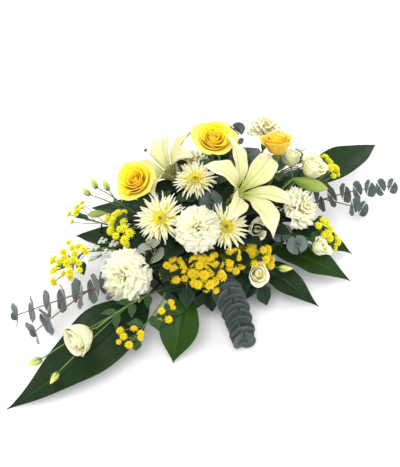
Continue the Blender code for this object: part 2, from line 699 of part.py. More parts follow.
def carnation_head(rng):
    """Four frilled layers, one above the other, in one closed body."""
    points = range(CARNATION_POINTS)
    waves = [[(rng.uniform(-1, 1), rng.uniform(0.86, 1.05)) for _ in points] for _ in CARNATION_LAYERS]

    def place(ring, point):
        turn = 2 * pi * point / CARNATION_POINTS
        layer, edge = divmod(ring, 2)
        if ring < 0:
            return 0, 0, 0
        if layer == len(CARNATION_LAYERS):
            return 0, 0, 0.020
        foot_radius, foot_height, radius, height = CARNATION_LAYERS[layer]
        if not edge:
            return foot_radius, turn, foot_height
        lift, spread = waves[layer][point]
        return radius * spread, turn, height + CARNATION_FRILL * (0.6 * (-1) ** point + 0.5 * lift)

    return [ringed(2 * len(CARNATION_LAYERS), CARNATION_POINTS, place)]


def make_carnation(name, mouth, base, facing, size):
    rng = Random("carnation " + name)
    facing = Vector(facing).normalized()
    frame = facing_frame(Vector(base) + facing * GAP, facing, rng.uniform(0, 2 * pi))
    fuse("carnation_" + name, placed(carnation_head(rng), frame @ Matrix.Scale(size, 4)), "carnation")
    calyx = placed([cone(0.0035, 0.0052, 0.020, 6, -0.020)], facing_frame(base, facing))
    fuse(f"carnation_{name}_stem", [rod(bloom_path(mouth, base, facing, 0.0020), 0.0020)] + calyx, "stem")


def mum_head(rng, reach):
    """Two layers of narrow rays round a small raised disc, in one closed body."""
    points = 2 * MUM_RAYS
    spread = [[(rng.uniform(0.88, 1.04), rng.uniform(-6, 6)) for _ in range(points)] for _ in MUM_LAYERS]
    disc = ((0.0060, 0.0075), (0.0050, 0.0095))

    def place(ring, point):
        turn = 2 * pi * point / points
        layer, edge = divmod(ring, 2)
        if ring < 0:
            return 0, 0, 0
        if ring == 2 * len(MUM_LAYERS) + len(disc):
            return 0, 0, 0.0085
        if layer >= len(MUM_LAYERS):
            radius, height = disc[edge]
            return radius, turn, height
        foot_radius, foot_height, share, slope, notch = MUM_LAYERS[layer]
        if not edge:
            return foot_radius, turn, foot_height
        if (point + layer) % 2:
            return notch, turn, foot_height + 0.0025
        longer, lean = spread[layer][point]
        length = (reach * share - foot_radius) * longer
        angle = radians(slope + lean)
        return foot_radius + length * cos(angle), turn, foot_height + 0.0025 + length * sin(angle)

    return [ringed(2 * len(MUM_LAYERS) + len(disc), points, place)]


def make_mums():
    stem = [rod(rooted(MUM_STEM, 0.0026, 2), 0.0026)]
    fork = Vector(MUM_STEM[-1])
    for name, (base, facing, reach) in MUMS.items():
        rng = Random("mum " + name)
        base, facing = Vector(base), Vector(facing).normalized()
        frame = facing_frame(base + facing * GAP, facing, rng.uniform(0, 2 * pi))
        fuse("spider_mum_" + name, placed(mum_head(rng, reach), frame), "mum")
        curve = (fork - UP * 0.004, base - facing * 0.4 * (base - fork).length, base - facing * 0.003)
        branch = bent(curve, 3)
        stem.append(rod(branch, 0.0018))
        stem += placed([cone(0.0025, 0.0060, 0.006, 6, -0.006)], facing_frame(base, facing))
        stem.append(small_leaf(spot(branch, 0.5)[0], curve[2] - fork - UP * 0.03, 0.036, 0.012))
    fuse("spider_mum_stem", stem, "stem")


def cup_bloom(size):
    """A half-open lisianthus: one rolled cup of petals in another."""
    shape = ((0.12, 0), (0.42, 0.30), (0.60, 1.06), (0.34, 0.70), (0.31, 1.22))

    def place(ring, point):
        turn = 2 * pi * point / 8
        if not 0 <= ring < len(shape):
            return 0, 0, 0 if ring < 0 else size * 0.9
        radius, height = shape[ring]
        if ring > 1:
            radius *= 0.92 + 0.020 * point
            height *= 1.04 - 0.12 * ((point + ring // 3) % 2)
        return size * radius, turn, size * height

    return ringed(len(shape), 8, place)


def make_lisianthus(name, points, blooms, buds):
    path = rooted(points, 0.0016, 2)
    pieces = [rod(path, 0.0016)]
    end = spot(path, 0.98)[0]
    for spin, (base, facing, size) in enumerate(blooms):
        pieces.append(rod([end, Vector(base) + Vector(facing).normalized() * 0.002], 0.0012))
        pieces += placed([cup_bloom(size)], facing_frame(base, facing, spin))
    for share, (base, direction, length) in zip((0.80, 0.65), buds):
        fork = spot(path, share)[0]
        tip = Vector(base) + Vector(direction) * 0.003
        pieces.append(rod([fork, (fork + tip) / 2 + UP * 0.004, tip], 0.0012))
        pieces += placed([spindle(length, length * 0.21)], facing_frame(base, direction))
    fuse("lisianthus_" + name, pieces, "lisianthus")


def patch_places(middle, facing, half_across, half_up, count, rng):
    """Places spread evenly over an oval patch that faces a given way, a little uneven in depth."""
    frame = facing_frame(middle, facing)
    facing = Vector(facing).normalized()
    across = facing.cross(UP).normalized()
    up = across.cross(facing)
    for i in range(count):
        reach, turn = ((i + 0.5) / count) ** 0.5, i * GOLDEN_ANGLE
        out = across * half_across * reach * cos(turn) + up * half_up * reach * sin(turn)
        yield frame.translation + out + facing * (rng.uniform(-0.004, 0.004) - 0.006 * reach * reach), out


def button_head(size):
    """A small domed flower."""
    return cone(size, 0, size * 0.6, 7)


def make_button_spray(name, points, patches):
    rng = Random("buttons " + name)
    path = rooted(points, 0.0018, 2)
    pieces = [rod(path, 0.0018)]
    for i, (middle, facing, half_across, half_up, count) in enumerate(patches):
        facing = Vector(facing).normalized()
        tip = Vector(middle) - facing * 0.009
        branch = bent((spot(path, 0.98 - 0.06 * i)[0], tip - facing * 0.020, tip), 2)
        pieces.append(rod(branch, 0.0014))
        for j, (place, out) in enumerate(patch_places(middle, facing, half_across, half_up, count, rng)):
            size = rng.uniform(*BUTTON_SIZES)
            direction = (facing + out * 14).normalized()
            pieces += placed([button_head(size)], facing_frame(place, direction))
            pieces.append(twig(spot(branch, 0.97 - 0.62 * j / count)[0], place + direction * 0.0012, 0.0008))
    fuse("button_spray_" + name, pieces, "button")


def make_filler(name, points, patch):
    rng = Random("filler " + name)
    path = rooted(points, 0.0015, 3)
    pieces = [rod(path, 0.0015)]
    middle, facing, *rest = patch
    facing = Vector(facing).normalized()
    for i, (place, out) in enumerate(patch_places(middle, facing, *rest, rng)):
        floret = bmesh.new()
        bmesh.ops.create_cone(floret, cap_ends=True, segments=4, radius1=0.0036, radius2=0, depth=0.004)
        pieces += placed([floret], facing_frame(place + facing * 0.001, facing + out * 10))
        pieces.append(twig(spot(path[1:], 0.98 - 0.6 * i / rest[2])[0], place, 0.0008))
    fuse("filler_" + name, pieces, "filler")


# Tray and foam


def rounded_box(length, width, height, corner, base):
    """A box standing on the level of its base, with round upright corners."""
    bm = bmesh.new()
    bmesh.ops.create_cube(bm, size=1)
    bmesh.ops.scale(bm, verts=bm.verts, vec=(length, width, height))
    uprights = [edge for edge in bm.edges if abs(edge.verts[0].co.z - edge.verts[1].co.z) > height / 2]
    bmesh.ops.bevel(bm, geom=uprights, offset=corner, segments=2, profile=0.5, affect="EDGES")
    bmesh.ops.translate(bm, verts=bm.verts, vec=(0, 0, base + height / 2))
    return bm


def make_tray():
    wall = rounded_box(TRAY_LENGTH, TRAY_WIDTH, TRAY_HEIGHT, TRAY_CORNER, 0)
    length, width = TRAY_LENGTH + 2 * TRAY_LIP, TRAY_WIDTH + 2 * TRAY_LIP
    lip = rounded_box(length, width, TRAY_LIP_HEIGHT, TRAY_CORNER + TRAY_LIP, TRAY_HEIGHT - TRAY_LIP_HEIGHT)
    tray = fuse("tray", [wall, lip], "tray")
    inside = rounded_box(TRAY_LENGTH - 2 * TRAY_WALL, TRAY_WIDTH - 2 * TRAY_WALL, TRAY_HEIGHT,
                         TRAY_CORNER - TRAY_WALL, TRAY_WALL)
    cutter = add_object("tray_inside", inside, TRAY_CUTTERS)
    cutter.hide_render = True
    cutter.display_type = "WIRE"
    cut = tray.modifiers.new("hollow", "BOOLEAN")
    cut.operation = "DIFFERENCE"
    cut.object = cutter
    cut.solver = "EXACT"


def make_foam():
    base = TRAY_WALL + GAP
    block = rounded_box(FOAM_LENGTH, FOAM_WIDTH, FOAM_TOP - base, TRAY_CORNER - TRAY_WALL - FOAM_SLACK, base)
    rim = [edge for edge in block.edges if min(vert.co.z for vert in edge.verts) > FOAM_TOP - 0.0001]
    bmesh.ops.bevel(block, geom=rim, offset=FOAM_EDGE, segments=1, affect="EDGES")
    foam = fuse("foam_block", [block], "foam")
    cut = foam.modifiers.new("holes", "BOOLEAN")
    cut.operation = "DIFFERENCE"
    cut.operand_type = "COLLECTION"
    cut.collection = CUTTERS
    cut.solver = "MANIFOLD"
    join_flat_faces(foam)


clear_scene()
PARTS = new_collection("casket_spray")
CUTTERS = new_collection("hole_cutters")
TRAY_CUTTERS = new_collection("tray_cutters")
make_tray()
for leaf_name, leaf in ASPIDISTRA.items():
    make_aspidistra(leaf_name, leaf)
for sprig_name, sprig in SALAL.items():
    make_salal(sprig_name, *sprig)
for branch_name, branch in EUCALYPTUS.items():
    make_eucalyptus(branch_name, *branch)
for rose_name, rose in ROSES.items():
    make_rose(rose_name, *rose)
for lily_name, lily in LILIES.items():
    make_lily(lily_name, *lily)
for carnation_name, carnation in CARNATIONS.items():
    make_carnation(carnation_name, *carnation)
make_mums()
for lisianthus_name, lisianthus in LISIANTHUS.items():
    make_lisianthus(lisianthus_name, *lisianthus)
for spray_name, spray in BUTTON_SPRAYS.items():
    make_button_spray(spray_name, *spray)
for filler_name, filler in FILLERS.items():
    make_filler(filler_name, *filler)
make_foam()
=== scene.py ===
from functools import lru_cache
from math import cos, exp, log, pi, radians, sin
from random import Random

import bmesh
import bpy
import numpy as np
from mathutils import Matrix, Vector


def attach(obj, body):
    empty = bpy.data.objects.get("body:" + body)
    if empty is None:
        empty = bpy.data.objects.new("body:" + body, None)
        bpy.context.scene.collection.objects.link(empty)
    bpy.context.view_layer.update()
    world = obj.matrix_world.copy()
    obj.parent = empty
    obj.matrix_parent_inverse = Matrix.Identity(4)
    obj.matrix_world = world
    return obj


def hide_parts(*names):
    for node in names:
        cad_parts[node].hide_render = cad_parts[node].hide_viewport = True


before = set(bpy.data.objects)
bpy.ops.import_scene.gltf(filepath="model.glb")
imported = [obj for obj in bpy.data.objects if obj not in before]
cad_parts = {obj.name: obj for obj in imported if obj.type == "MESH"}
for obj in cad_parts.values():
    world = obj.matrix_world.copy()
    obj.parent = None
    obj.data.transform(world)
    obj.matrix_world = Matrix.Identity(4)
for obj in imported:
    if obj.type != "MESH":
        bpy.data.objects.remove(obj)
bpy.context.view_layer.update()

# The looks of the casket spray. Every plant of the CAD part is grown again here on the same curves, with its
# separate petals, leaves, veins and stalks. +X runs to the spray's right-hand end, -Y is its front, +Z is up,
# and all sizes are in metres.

UP = Vector((0, 0, 1))
GOLDEN_ANGLE = radians(137.508)

# Tray and foam
TRAY_LENGTH, TRAY_WIDTH, TRAY_HEIGHT, TRAY_WALL, TRAY_CORNER = 0.232, 0.112, 0.035, 0.002, 0.020
TRAY_LIP, TRAY_LIP_HEIGHT = 0.003, 0.003
FOAM_LENGTH, FOAM_WIDTH, FOAM_TOP = 0.227, 0.107, 0.078

# Stems in the foam
TOP_DEPTH, SIDE_DEPTH = 0.020, 0.026  # how far a stem goes in from the foam's top, and from its sides

# Aspidistra leaves: mouth of the hole, two points that steer the leaf, its tip, its width and where it is
# widest
ASPIDISTRA = {
    "left_end": ((-0.1135, -0.004, 0.048), (-0.200, -0.030, 0.052), (-0.320, -0.045, 0.038),
                 (-0.420, -0.015, 0.007), 0.100, 0.42),
    "right_end": ((0.1135, 0.002, 0.048), (0.220, -0.022, 0.074), (0.330, -0.020, 0.066),
                  (0.418, -0.002, 0.025), 0.070, 0.42),
    "front": ((-0.088, -0.0535, 0.048), (-0.122, -0.074, 0.082), (-0.160, -0.092, 0.064),
              (-0.190, -0.114, 0.008), 0.062, 0.62),
    "left_high": ((-0.042, 0.0535, 0.050), (-0.060, 0.100, 0.085), (-0.095, 0.150, 0.080),
                  (-0.105, 0.200, 0.050), 0.056, 0.42),
    "left_low": ((-0.092, 0.0535, 0.046), (-0.114, 0.085, 0.058), (-0.140, 0.128, 0.064),
                 (-0.163, 0.165, 0.048), 0.050, 0.48),
    "right_upper": ((0.092, -0.0535, 0.050), (0.112, -0.090, 0.072), (0.140, -0.130, 0.058),
                    (0.166, -0.158, 0.025), 0.044, 0.48),
    "right_middle": ((0.046, -0.0535, 0.046), (0.066, -0.100, 0.056), (0.105, -0.145, 0.042),
                     (0.130, -0.188, 0.010), 0.060, 0.42),
    "right_lower": ((0.016, -0.0535, 0.044), (0.022, -0.095, 0.050), (0.035, -0.145, 0.035),
                    (0.053, -0.188, 0.008), 0.052, 0.42),
    "rear_middle": ((0.006, 0.0535, 0.048), (0.015, 0.100, 0.070), (0.030, 0.150, 0.055),
                    (0.050, 0.198, 0.010), 0.070, 0.42),
    "rear_right": ((0.086, 0.0535, 0.048), (0.130, 0.090, 0.075), (0.190, 0.120, 0.060),
                   (0.255, 0.150, 0.012), 0.070, 0.42),
}
PETIOLE_RADIUS, PETIOLE_SHARE = 0.0022, 0.14
LONG_LEAF = 0.25  # a leaf longer than this is bent in more steps

# Salal sprigs: the stem's curve and the size of a leaf
SALAL = {
    "front": (((-0.016, -0.0535, 0.052), (-0.010, -0.085, 0.078), (-0.014, -0.114, 0.054)), 0.043),
    "front_left": (((-0.098, -0.038, 0.078), (-0.104, -0.048, 0.086), (-0.118, -0.064, 0.087)), 0.040),
    "left": (((-0.054, 0.040, 0.078), (-0.058, 0.064, 0.096), (-0.100, 0.100, 0.080)), 0.042),
    "right": (((0.1135, 0.030, 0.060), (0.160, 0.030, 0.095), (0.205, -0.010, 0.098)), 0.050),
    "rear": (((0.046, 0.0535, 0.056), (0.055, 0.090, 0.090), (0.062, 0.120, 0.095)), 0.055),
}

# Eucalyptus: each branch's curve and its pairs of leaves, then the size of a leaf, how far the leaves lean
# forward from square across the stem, and how far the pairs face the sky
EUCALYPTUS = {
    "left": ([(((-0.1135, 0.018, 0.044), (-0.220, 0.044, 0.067), (-0.330, 0.088, 0.050)), 7),
              (((-0.218, 0.048, 0.058), (-0.275, 0.050, 0.052), (-0.322, 0.053, 0.036)), 2)],
             0.0170, 12, 0.3),
    "right": ([(((0.1135, -0.034, 0.048), (0.210, -0.068, 0.085), (0.324, -0.112, 0.050)), 7),
               (((0.190, -0.058, 0.068), (0.215, -0.092, 0.062), (0.245, -0.110, 0.045)), 2)],
              0.0125, 8, 0.0),
    "front": ([(((-0.054, -0.0535, 0.048), (-0.066, -0.110, 0.074), (-0.094, -0.165, 0.028)), 6)],
              0.0162, 18, 0.75),
    "front_right": ([(((0.034, -0.042, 0.078), (0.068, -0.070, 0.086), (0.059, -0.090, 0.098)), 1),
                     (((0.050, -0.058, 0.082), (0.074, -0.104, 0.068), (0.062, -0.122, 0.094)), 1)],
                    0.0132, 10, 0.0),
    "centre_left": ([(((-0.078, -0.016, 0.078), (-0.135, -0.014, 0.086), (-0.131, 0.006, 0.129)), 2)],
                    0.0138, 10, 0.0),
    "centre": ([(((-0.010, 0.004, 0.078), (0.010, 0.028, 0.112), (-0.018, -0.008, 0.158)), 2)],
               0.0152, 8, 0.0),
    "top": ([(((0.064, 0.034, 0.078), (0.084, 0.056, 0.140), (0.082, 0.042, 0.214)), 4)],
            0.0125, 30, 0.0),
}

# Roses: mouth of the hole, the head's base, the way it faces, how far it has opened
ROSES = {
    "left": ((-0.042, 0.036, 0.078), (-0.078, 0.089, 0.161), (-0.47, 0.00, 0.88), 0.85),
    "top": ((0.014, 0.014, 0.078), (0.032, 0.042, 0.208), (-0.10, -0.20, 0.97), 0.8),
    "right": ((0.046, -0.006, 0.078), (0.108, -0.024, 0.188), (0.20, 0.30, 0.93), 0.6),
}
# Lilies: mouth of the hole, the flower's base, the way it faces, its turn about that, then its bud's base,
# the way that the bud points and its length
LILIES = {
    "left": ((-0.018, 0.036, 0.078), (-0.010, 0.086, 0.133), (-0.36, 0.52, 0.78), 11,
             ((-0.126, 0.119, 0.111), (-0.60, 0.72, -0.25), 0.035)),
    "right": ((0.028, -0.014, 0.078), (0.0070, -0.0325, 0.170), (0.30, -0.56, 0.77), 54,
              ((0.110, -0.056, 0.160), (0.62, -0.72, -0.25), 0.062)),
}
TEPAL_LENGTH, TEPAL_RISE, TEPAL_FALL = 0.098, 64, -22
PISTIL_LENGTH = 0.072

# Carnations: mouth of the hole, the head's base, the way it faces, its size beside a common one
CARNATIONS = {
    "left": ((-0.1135, 0.004, 0.064), (-0.166, 0.012, 0.082), (-0.70, -0.25, 0.66), 1.20),
    "middle": ((-0.044, -0.016, 0.078), (-0.068, -0.033, 0.148), (-0.35, -0.45, 0.82), 1.02),
    "right": ((0.062, -0.040, 0.078), (0.094, -0.078, 0.117), (0.45, -0.65, 0.60), 1.0),
    "top": ((0.064, 0.012, 0.078), (0.132, 0.026, 0.181), (0.45, 0.35, 0.82), 0.90),
    "rear": ((0.020, 0.042, 0.078), (0.030, 0.088, 0.125), (0.10, 0.70, 0.70), 1.0),
}
# Spider chrysanthemums: one branching stem, and each head's base, the way it faces and the reach of its rays
MUM_STEM = ((-0.042, 0.012, 0.078), (-0.042, 0.012, 0.095), (-0.042, 0.012, 0.106))
MUMS = {
    "left": ((-0.086, 0.028, 0.137), (-0.55, -0.20, 0.81), 0.044),
    "top": ((-0.010, 0.036, 0.164), (-0.20, -0.10, 0.97), 0.037),
    "right": ((-0.025, -0.047, 0.134), (-0.15, -0.55, 0.82), 0.039),
}

# Lisianthus: the stem's curve, its blooms (base, facing, size), and its buds (base, direction, length)
LISIANTHUS = {
    "left_end": (((-0.1135, -0.028, 0.050), (-0.190, -0.030, 0.090), (-0.262, -0.026, 0.069)),
                 (((-0.270, -0.024, 0.070), (-0.98, -0.05, 0.10), 0.034),),
                 (((-0.345, -0.004, 0.048), (-0.8, 0.2, 0.0), 0.024),
                  ((-0.338, -0.034, 0.042), (-0.8, -0.3, -0.1), 0.022))),
    "front_upper": (((0.016, -0.044, 0.078), (0.022, -0.056, 0.094), (0.030, -0.062, 0.102)),
                    (((0.023, -0.063, 0.108), (-0.20, -0.60, 0.75), 0.020),
                     ((0.040, -0.067, 0.110), (0.30, -0.40, 0.80), 0.018)),
                    ()),
    "front_lower": (((-0.004, -0.044, 0.078), (-0.008, -0.082, 0.082), (-0.012, -0.102, 0.072)),
                    (((-0.014, -0.106, 0.068), (-0.20, -0.60, 0.72), 0.021),),
                    (((0.020, -0.122, 0.070), (0.6, -0.7, 0.1), 0.024),)),
    "right": (((0.070, -0.0535, 0.052), (0.078, -0.092, 0.082), (0.090, -0.128, 0.074)),
              (((0.092, -0.134, 0.068), (0.30, -0.50, 0.75), 0.021),), ()),
    "upper_right": (((0.076, -0.026, 0.078), (0.110, -0.045, 0.125), (0.125, -0.052, 0.140)),
                    (((0.140, -0.062, 0.152), (0.40, -0.30, 0.85), 0.030),
                     ((0.138, -0.030, 0.152), (0.20, 0.30, 0.95), 0.024)),
                    ()),
}

# Sprays of button chrysanthemums: the stem's curve, then patches of heads: the middle, the way the patch
# faces, its half-length level across, its half-length up the slope, and the number of heads
BUTTON_SPRAYS = {
    "front": (((-0.066, -0.042, 0.078), (-0.072, -0.050, 0.088), (-0.078, -0.056, 0.092)),
              (((-0.118, -0.046, 0.108), (-0.50, -0.40, 0.76), 0.024, 0.024, 6),
               ((-0.090, -0.082, 0.106), (-0.30, -0.60, 0.74), 0.024, 0.026, 7),
               ((-0.044, -0.090, 0.110), (-0.10, -0.65, 0.76), 0.020, 0.018, 3),
               ((0.006, -0.112, 0.098), (0.10, -0.75, 0.66), 0.020, 0.016, 3))),
    "left": (((-0.1135, 0.036, 0.052), (-0.165, 0.095, 0.090), (-0.200, 0.104, 0.074)),
             (((-0.225, 0.100, 0.086), (-0.55, 0.10, 0.83), 0.028, 0.038, 8),)),
    "left_rear": (((-0.082, 0.034, 0.078), (-0.100, 0.068, 0.110), (-0.118, 0.078, 0.100)),
                  (((-0.150, 0.176, 0.092), (-0.35, 0.55, 0.76), 0.018, 0.020, 3),
                   ((-0.138, 0.078, 0.122), (-0.60, 0.15, 0.80), 0.036, 0.020, 6))),
    "left_front": (((-0.1135, -0.022, 0.066), (-0.145, -0.050, 0.088), (-0.172, -0.064, 0.076)),
                   (((-0.168, -0.076, 0.082), (-0.15, -0.45, 0.88), 0.020, 0.016, 3),
                    ((-0.236, -0.076, 0.076), (-0.25, -0.25, 0.93), 0.030, 0.014, 4))),
    "right": (((0.098, -0.032, 0.078), (0.125, -0.056, 0.098), (0.145, -0.066, 0.095)),
              (((0.226, -0.044, 0.116), (0.50, -0.25, 0.83), 0.030, 0.016, 4),
               ((0.126, -0.134, 0.090), (0.25, -0.65, 0.72), 0.016, 0.028, 4))),
}
BUTTON_SIZES = (0.0074, 0.0094)

# Fine filler: the stem's curve, then the patch that its florets fill, as for the buttons
FILLERS = {
    "left": (((-0.104, 0.030, 0.078), (-0.130, 0.048, 0.105), (-0.155, 0.066, 0.096)),
             ((-0.180, 0.074, 0.094), (-0.50, 0.05, 0.85), 0.030, 0.027, 7)),
    "right": (((0.098, 0.010, 0.078), (0.150, 0.005, 0.125), (0.175, -0.015, 0.120)),
              ((0.196, -0.016, 0.136), (0.40, -0.15, 0.90), 0.030, 0.024, 7)),
}

# Details that only the looks have

# How thick petals and leaves are
PETAL_THICKNESS, LEAF_THICKNESS, BLADE_THICKNESS, TEPAL_THICKNESS = 0.00045, 0.0006, 0.0009, 0.0007
RAY_THICKNESS, NEEDLE_THICKNESS = 0.0004, 0.0005
BLOOM_LIFT = 0.0003  # from the end of the stem to the bloom

# Stalks: the radius, or that of the foot and that of the end
STALKS = {
    "salal": (0.0018, 0.0010),
    "salal_leaf": (0.0009, 0.0006),
    "eucalyptus": (0.0017, 0.0008),
    "eucalyptus_side": (0.0013, 0.0007),
    "undergrowth": (0.0014, 0.0010),
    "rose": 0.0024,
    "lily": 0.0026,
    "lily_bud": (0.0018, 0.0014),
    "pistil": (0.0014, 0.0011),
    "stamen": (0.0008, 0.0004),
    "carnation": 0.0020,
    "mum": 0.0026,
    "mum_branch": (0.0020, 0.0016),
    "lisianthus": (0.0018, 0.0013),
    "lisianthus_bloom": 0.0012,
    "lisianthus_bud": (0.0012, 0.0009),
    "button": (0.0018, 0.0014),
    "button_branch": (0.0014, 0.0009),
    "button_head": 0.0007,
    "button_low": 0.0006,
    "filler": (0.0015, 0.0010),
    "filler_branch": 0.0006,
    "floret": 0.0004,
}
# Leaves on the flower stems: length and half-width, and where they stand along a stem
STEM_LEAVES = {
    "rose": (0.036, 0.012),
    "lily": (0.040, 0.0075),
    "mum": (0.038, 0.012),
    "lisianthus": (0.026, 0.0065),
    "button": (0.026, 0.0085),
}
STEM_LEAF_SHARES = (0.34, 0.46, 0.58, 0.70, 0.82)

# Turned bodies from the bottom up: radius, height
ROSE_CALYX = ((0, -0.011), (0.0028, -0.010), (0.0050, -0.006), (0.0058, -0.002), (0.0050, 0), (0, 0))
LILY_NECK = ((0, -0.010), (0.0028, -0.009), (0.0044, -0.003), (0.0046, 0), (0, 0.0002))
LILY_THROAT = ((0, 0), (0.0040, 0.0002), (0.0050, 0.006), (0.0070, 0.013), (0.0030, 0.010), (0, 0.009))
LILY_STIGMA = ((0, -0.001), (0.0014, 0), (0.0028, 0.0016), (0.0032, 0.0026), (0.0018, 0.0034), (0, 0.0030))
CARNATION_CALYX = ((0, -0.020), (0.0030, -0.019), (0.0046, -0.015), (0.0050, -0.004), (0.0056, 0.0002),
                   (0, 0))
MUM_CENTRE = ((0, 0.004), (0.0026, 0.0045), (0.0027, 0.0112), (0.0016, 0.0124), (0, 0.0121))
MUM_BED = ((0, 0), (0.0055, 0.0002), (0.0085, 0.0035), (0.0070, 0.0066), (0, 0.0070))
MUM_CUP = ((0, -0.006), (0.0024, -0.0055), (0.0055, -0.001), (0.0058, 0), (0, 0.0002))
LISIANTHUS_CUP = ((0, -0.001), (0.0014, -0.0008), (0.0034, 0.002), (0.0030, 0.0035), (0, 0.003))
BUTTON_FOOT = ((0, -0.0008), (0.0010, -0.0006))
# The same as shares of a flower's size
LISIANTHUS_PISTIL = ((0, 0.2), (0.10, 0.24), (0.13, 0.60), (0.24, 0.74), (0.12, 0.82), (0, 0.80))
BUTTON_CENTRE = ((0, 0.1), (0.30, 0.12), (0.30, 0.40), (0.20, 0.50), (0, 0.48))
BUTTON_CUP = ((0.30, 0.02), (0.34, 0.12), (0, 0.12))

# Buds, as shares of their length: half-width, where that is, the least; then how blunt their ends are, steps
# along them, and how far their poles stand out below and above
LILY_BUD = (0.17, 0.55, 0.02, 0.75, 16, 0.0004, 0.0006)
LISIANTHUS_BUD = (0.21, 0.40, 0.03, 0.8, 12, 0.0002, 0.0004)

LEAF_DROOP = 0.25  # of a small leaf's tip, as a share of its length
# The front leaves get a lighter copy of the aspidistra paint: painted light, for the light that they catch
PAINTED_LIT_ASPIDISTRA = ("front", "right_middle")
VEIN_DEPTH, RIB_DEPTH, RIB_END = 0.00022, 0.0010, 0.0004
SALAL_LEAVES = 7  # on a sprig: the four of the CAD sprig and three more
EUCALYPTUS_TWIST = 90  # degrees from one pair of leaves to the next
EUCALYPTUS_PAIRS = {"front": 2}  # times the pairs of leaves that the CAD branch has
EUCALYPTUS_LOOKS = {"centre_left": "eucalyptus_pale", "front": "eucalyptus_dark", "top": "eucalyptus_dark",
                    "centre": "eucalyptus_dark"}

# Low dark leaves, partly painted shade in the gaps: their number, the rise of their stems, how deep those
# stand in the foam, lengths
UNDERGROWTH, UNDERGROWTH_RISE, UNDERGROWTH_DEPTH, UNDERGROWTH_LEAF = 54, 0.046, 0.004, (0.038, 0.052)
# Leaves that stand higher between the flowers: mouth of the stem in the foam, the leaf's foot, the way it
# points, its length and half-width
TALL_LEAVES = (
    ((-0.020, 0.044, 0.078), (-0.014, 0.074, 0.116), (-0.55, 0.62, 0.35), 0.052, 0.016),
    ((0.004, 0.044, 0.078), (-0.004, 0.078, 0.114), (0.10, 0.75, 0.45), 0.050, 0.016),
    ((0.034, 0.014, 0.078), (0.034, 0.016, 0.116), (0.75, 0.45, 0.25), 0.044, 0.015),
    ((0.020, 0.004, 0.078), (0.022, -0.002, 0.112), (0.80, -0.15, 0.25), 0.042, 0.014),
    ((-0.060, 0.030, 0.078), (-0.066, 0.046, 0.112), (-0.60, 0.50, 0.45), 0.044, 0.015),
    ((0.050, 0.036, 0.078), (0.052, 0.050, 0.138), (0.35, 0.25, 0.80), 0.050, 0.016),
    ((0.004, 0.040, 0.078), (0.008, 0.072, 0.132), (-0.15, 0.25, 0.90), 0.046, 0.015),
    ((-0.066, -0.044, 0.078), (-0.084, -0.072, 0.070), (-0.25, -0.60, -0.55), 0.044, 0.015),
    ((-0.044, -0.044, 0.078), (-0.048, -0.076, 0.070), (0.10, -0.70, -0.50), 0.044, 0.015),
)

# Whorls of a rose from the middle out: petals, radius and height of their feet, length, slope at the foot
# and at the edge, half-angle, roll of the lip
ROSE_WHORLS = (
    (3, 0.0030, 0.0100, 0.018, 88, 97, 80, 0.0000),
    (4, 0.0045, 0.0080, 0.022, 78, 99, 75, 0.0004),
    (4, 0.0055, 0.0060, 0.026, 66, 97, 68, 0.0010),
    (5, 0.0060, 0.0050, 0.029, 52, 92, 62, 0.0018),
    (5, 0.0065, 0.0040, 0.031, 38, 82, 58, 0.0026),
    (5, 0.0065, 0.0025, 0.032, 14, 56, 60, 0.0032),
)
ROSE_GUARDS = 1  # the outermost whorls that are paler
ROSE_RUFFLE, ROSE_DROOP = 0.06, 0.004
ROSE_TINTS = {"right": "_orange"}

# Whorls of a carnation from the bottom up: petals, radius and height of their edges, half-width
CARNATION_WHORLS = (
    (6, 0.0335, 0.0060, 0.0215),
    (6, 0.0318, 0.0140, 0.0210),
    (6, 0.0280, 0.0215, 0.0200),
    (5, 0.0215, 0.0280, 0.0180),
    (5, 0.0140, 0.0320, 0.0150),
    (3, 0.0075, 0.0340, 0.0120),
    (2, 0.0025, 0.0335, 0.0090),
)
CARNATION_TEETH, CARNATION_RUFFLE = 32, 0.0040

# Whorls of a spider chrysanthemum from the bottom up: rays, radius and height of their feet, share of the
# reach, slope
MUM_WHORLS = (
    (23, 0.0060, 0.0015, 1.00, 14),
    (22, 0.0066, 0.0028, 0.97, 25),
    (20, 0.0072, 0.0038, 0.90, 36),
    (18, 0.0078, 0.0048, 0.74, 48),
    (14, 0.0082, 0.0056, 0.52, 60),
)
MUM_RAY_HALF_WIDTH, MUM_FLORETS = 0.0021, 110

# Tepals of a lily, outer and inner: radius and height of the foot, half-width
TEPAL_FEET = ((0.0045, 0.004, 0.0145), (0.0035, 0.006, 0.0200))
TEPAL_CHANNEL = 0.0018
STIGMA_LOOKS = {"left": "stigma", "right": "pistil"}

# Whorls of an opening lisianthus from the outside in, as shares of its size, like those of a rose
CUP_WHORLS = (
    (3, 0.12, 0.02, 1.28, 24, 106, 80, 0.16),
    (3, 0.11, 0.06, 1.22, 36, 112, 80, 0.08),
    (3, 0.06, 0.12, 1.06, 58, 108, 92, 0.03),
    (3, 0.05, 0.14, 0.84, 64, 92, 92, 0.02),
)
CUP_RUFFLE, CUP_DROOP = 0.10, 0.10
BUD_FORKS = (0.80, 0.65, 0.97)  # where the stalks of the buds leave a lisianthus stem

# Buds on thin stems that only the looks have, as for the lisianthus
THIN_BUDS = {
    "thin_left_rear": (((-0.070, 0.0535, 0.062), (-0.078, 0.095, 0.098), (-0.104, 0.130, 0.118)), (),
                       (((-0.116, 0.156, 0.132), (0.0, 0.6, 0.7), 0.022),
                        ((-0.128, 0.160, 0.122), (-0.3, 0.5, 0.6), 0.020),
                        ((-0.104, 0.142, 0.130), (0.1, 0.6, 0.7), 0.022))),
}

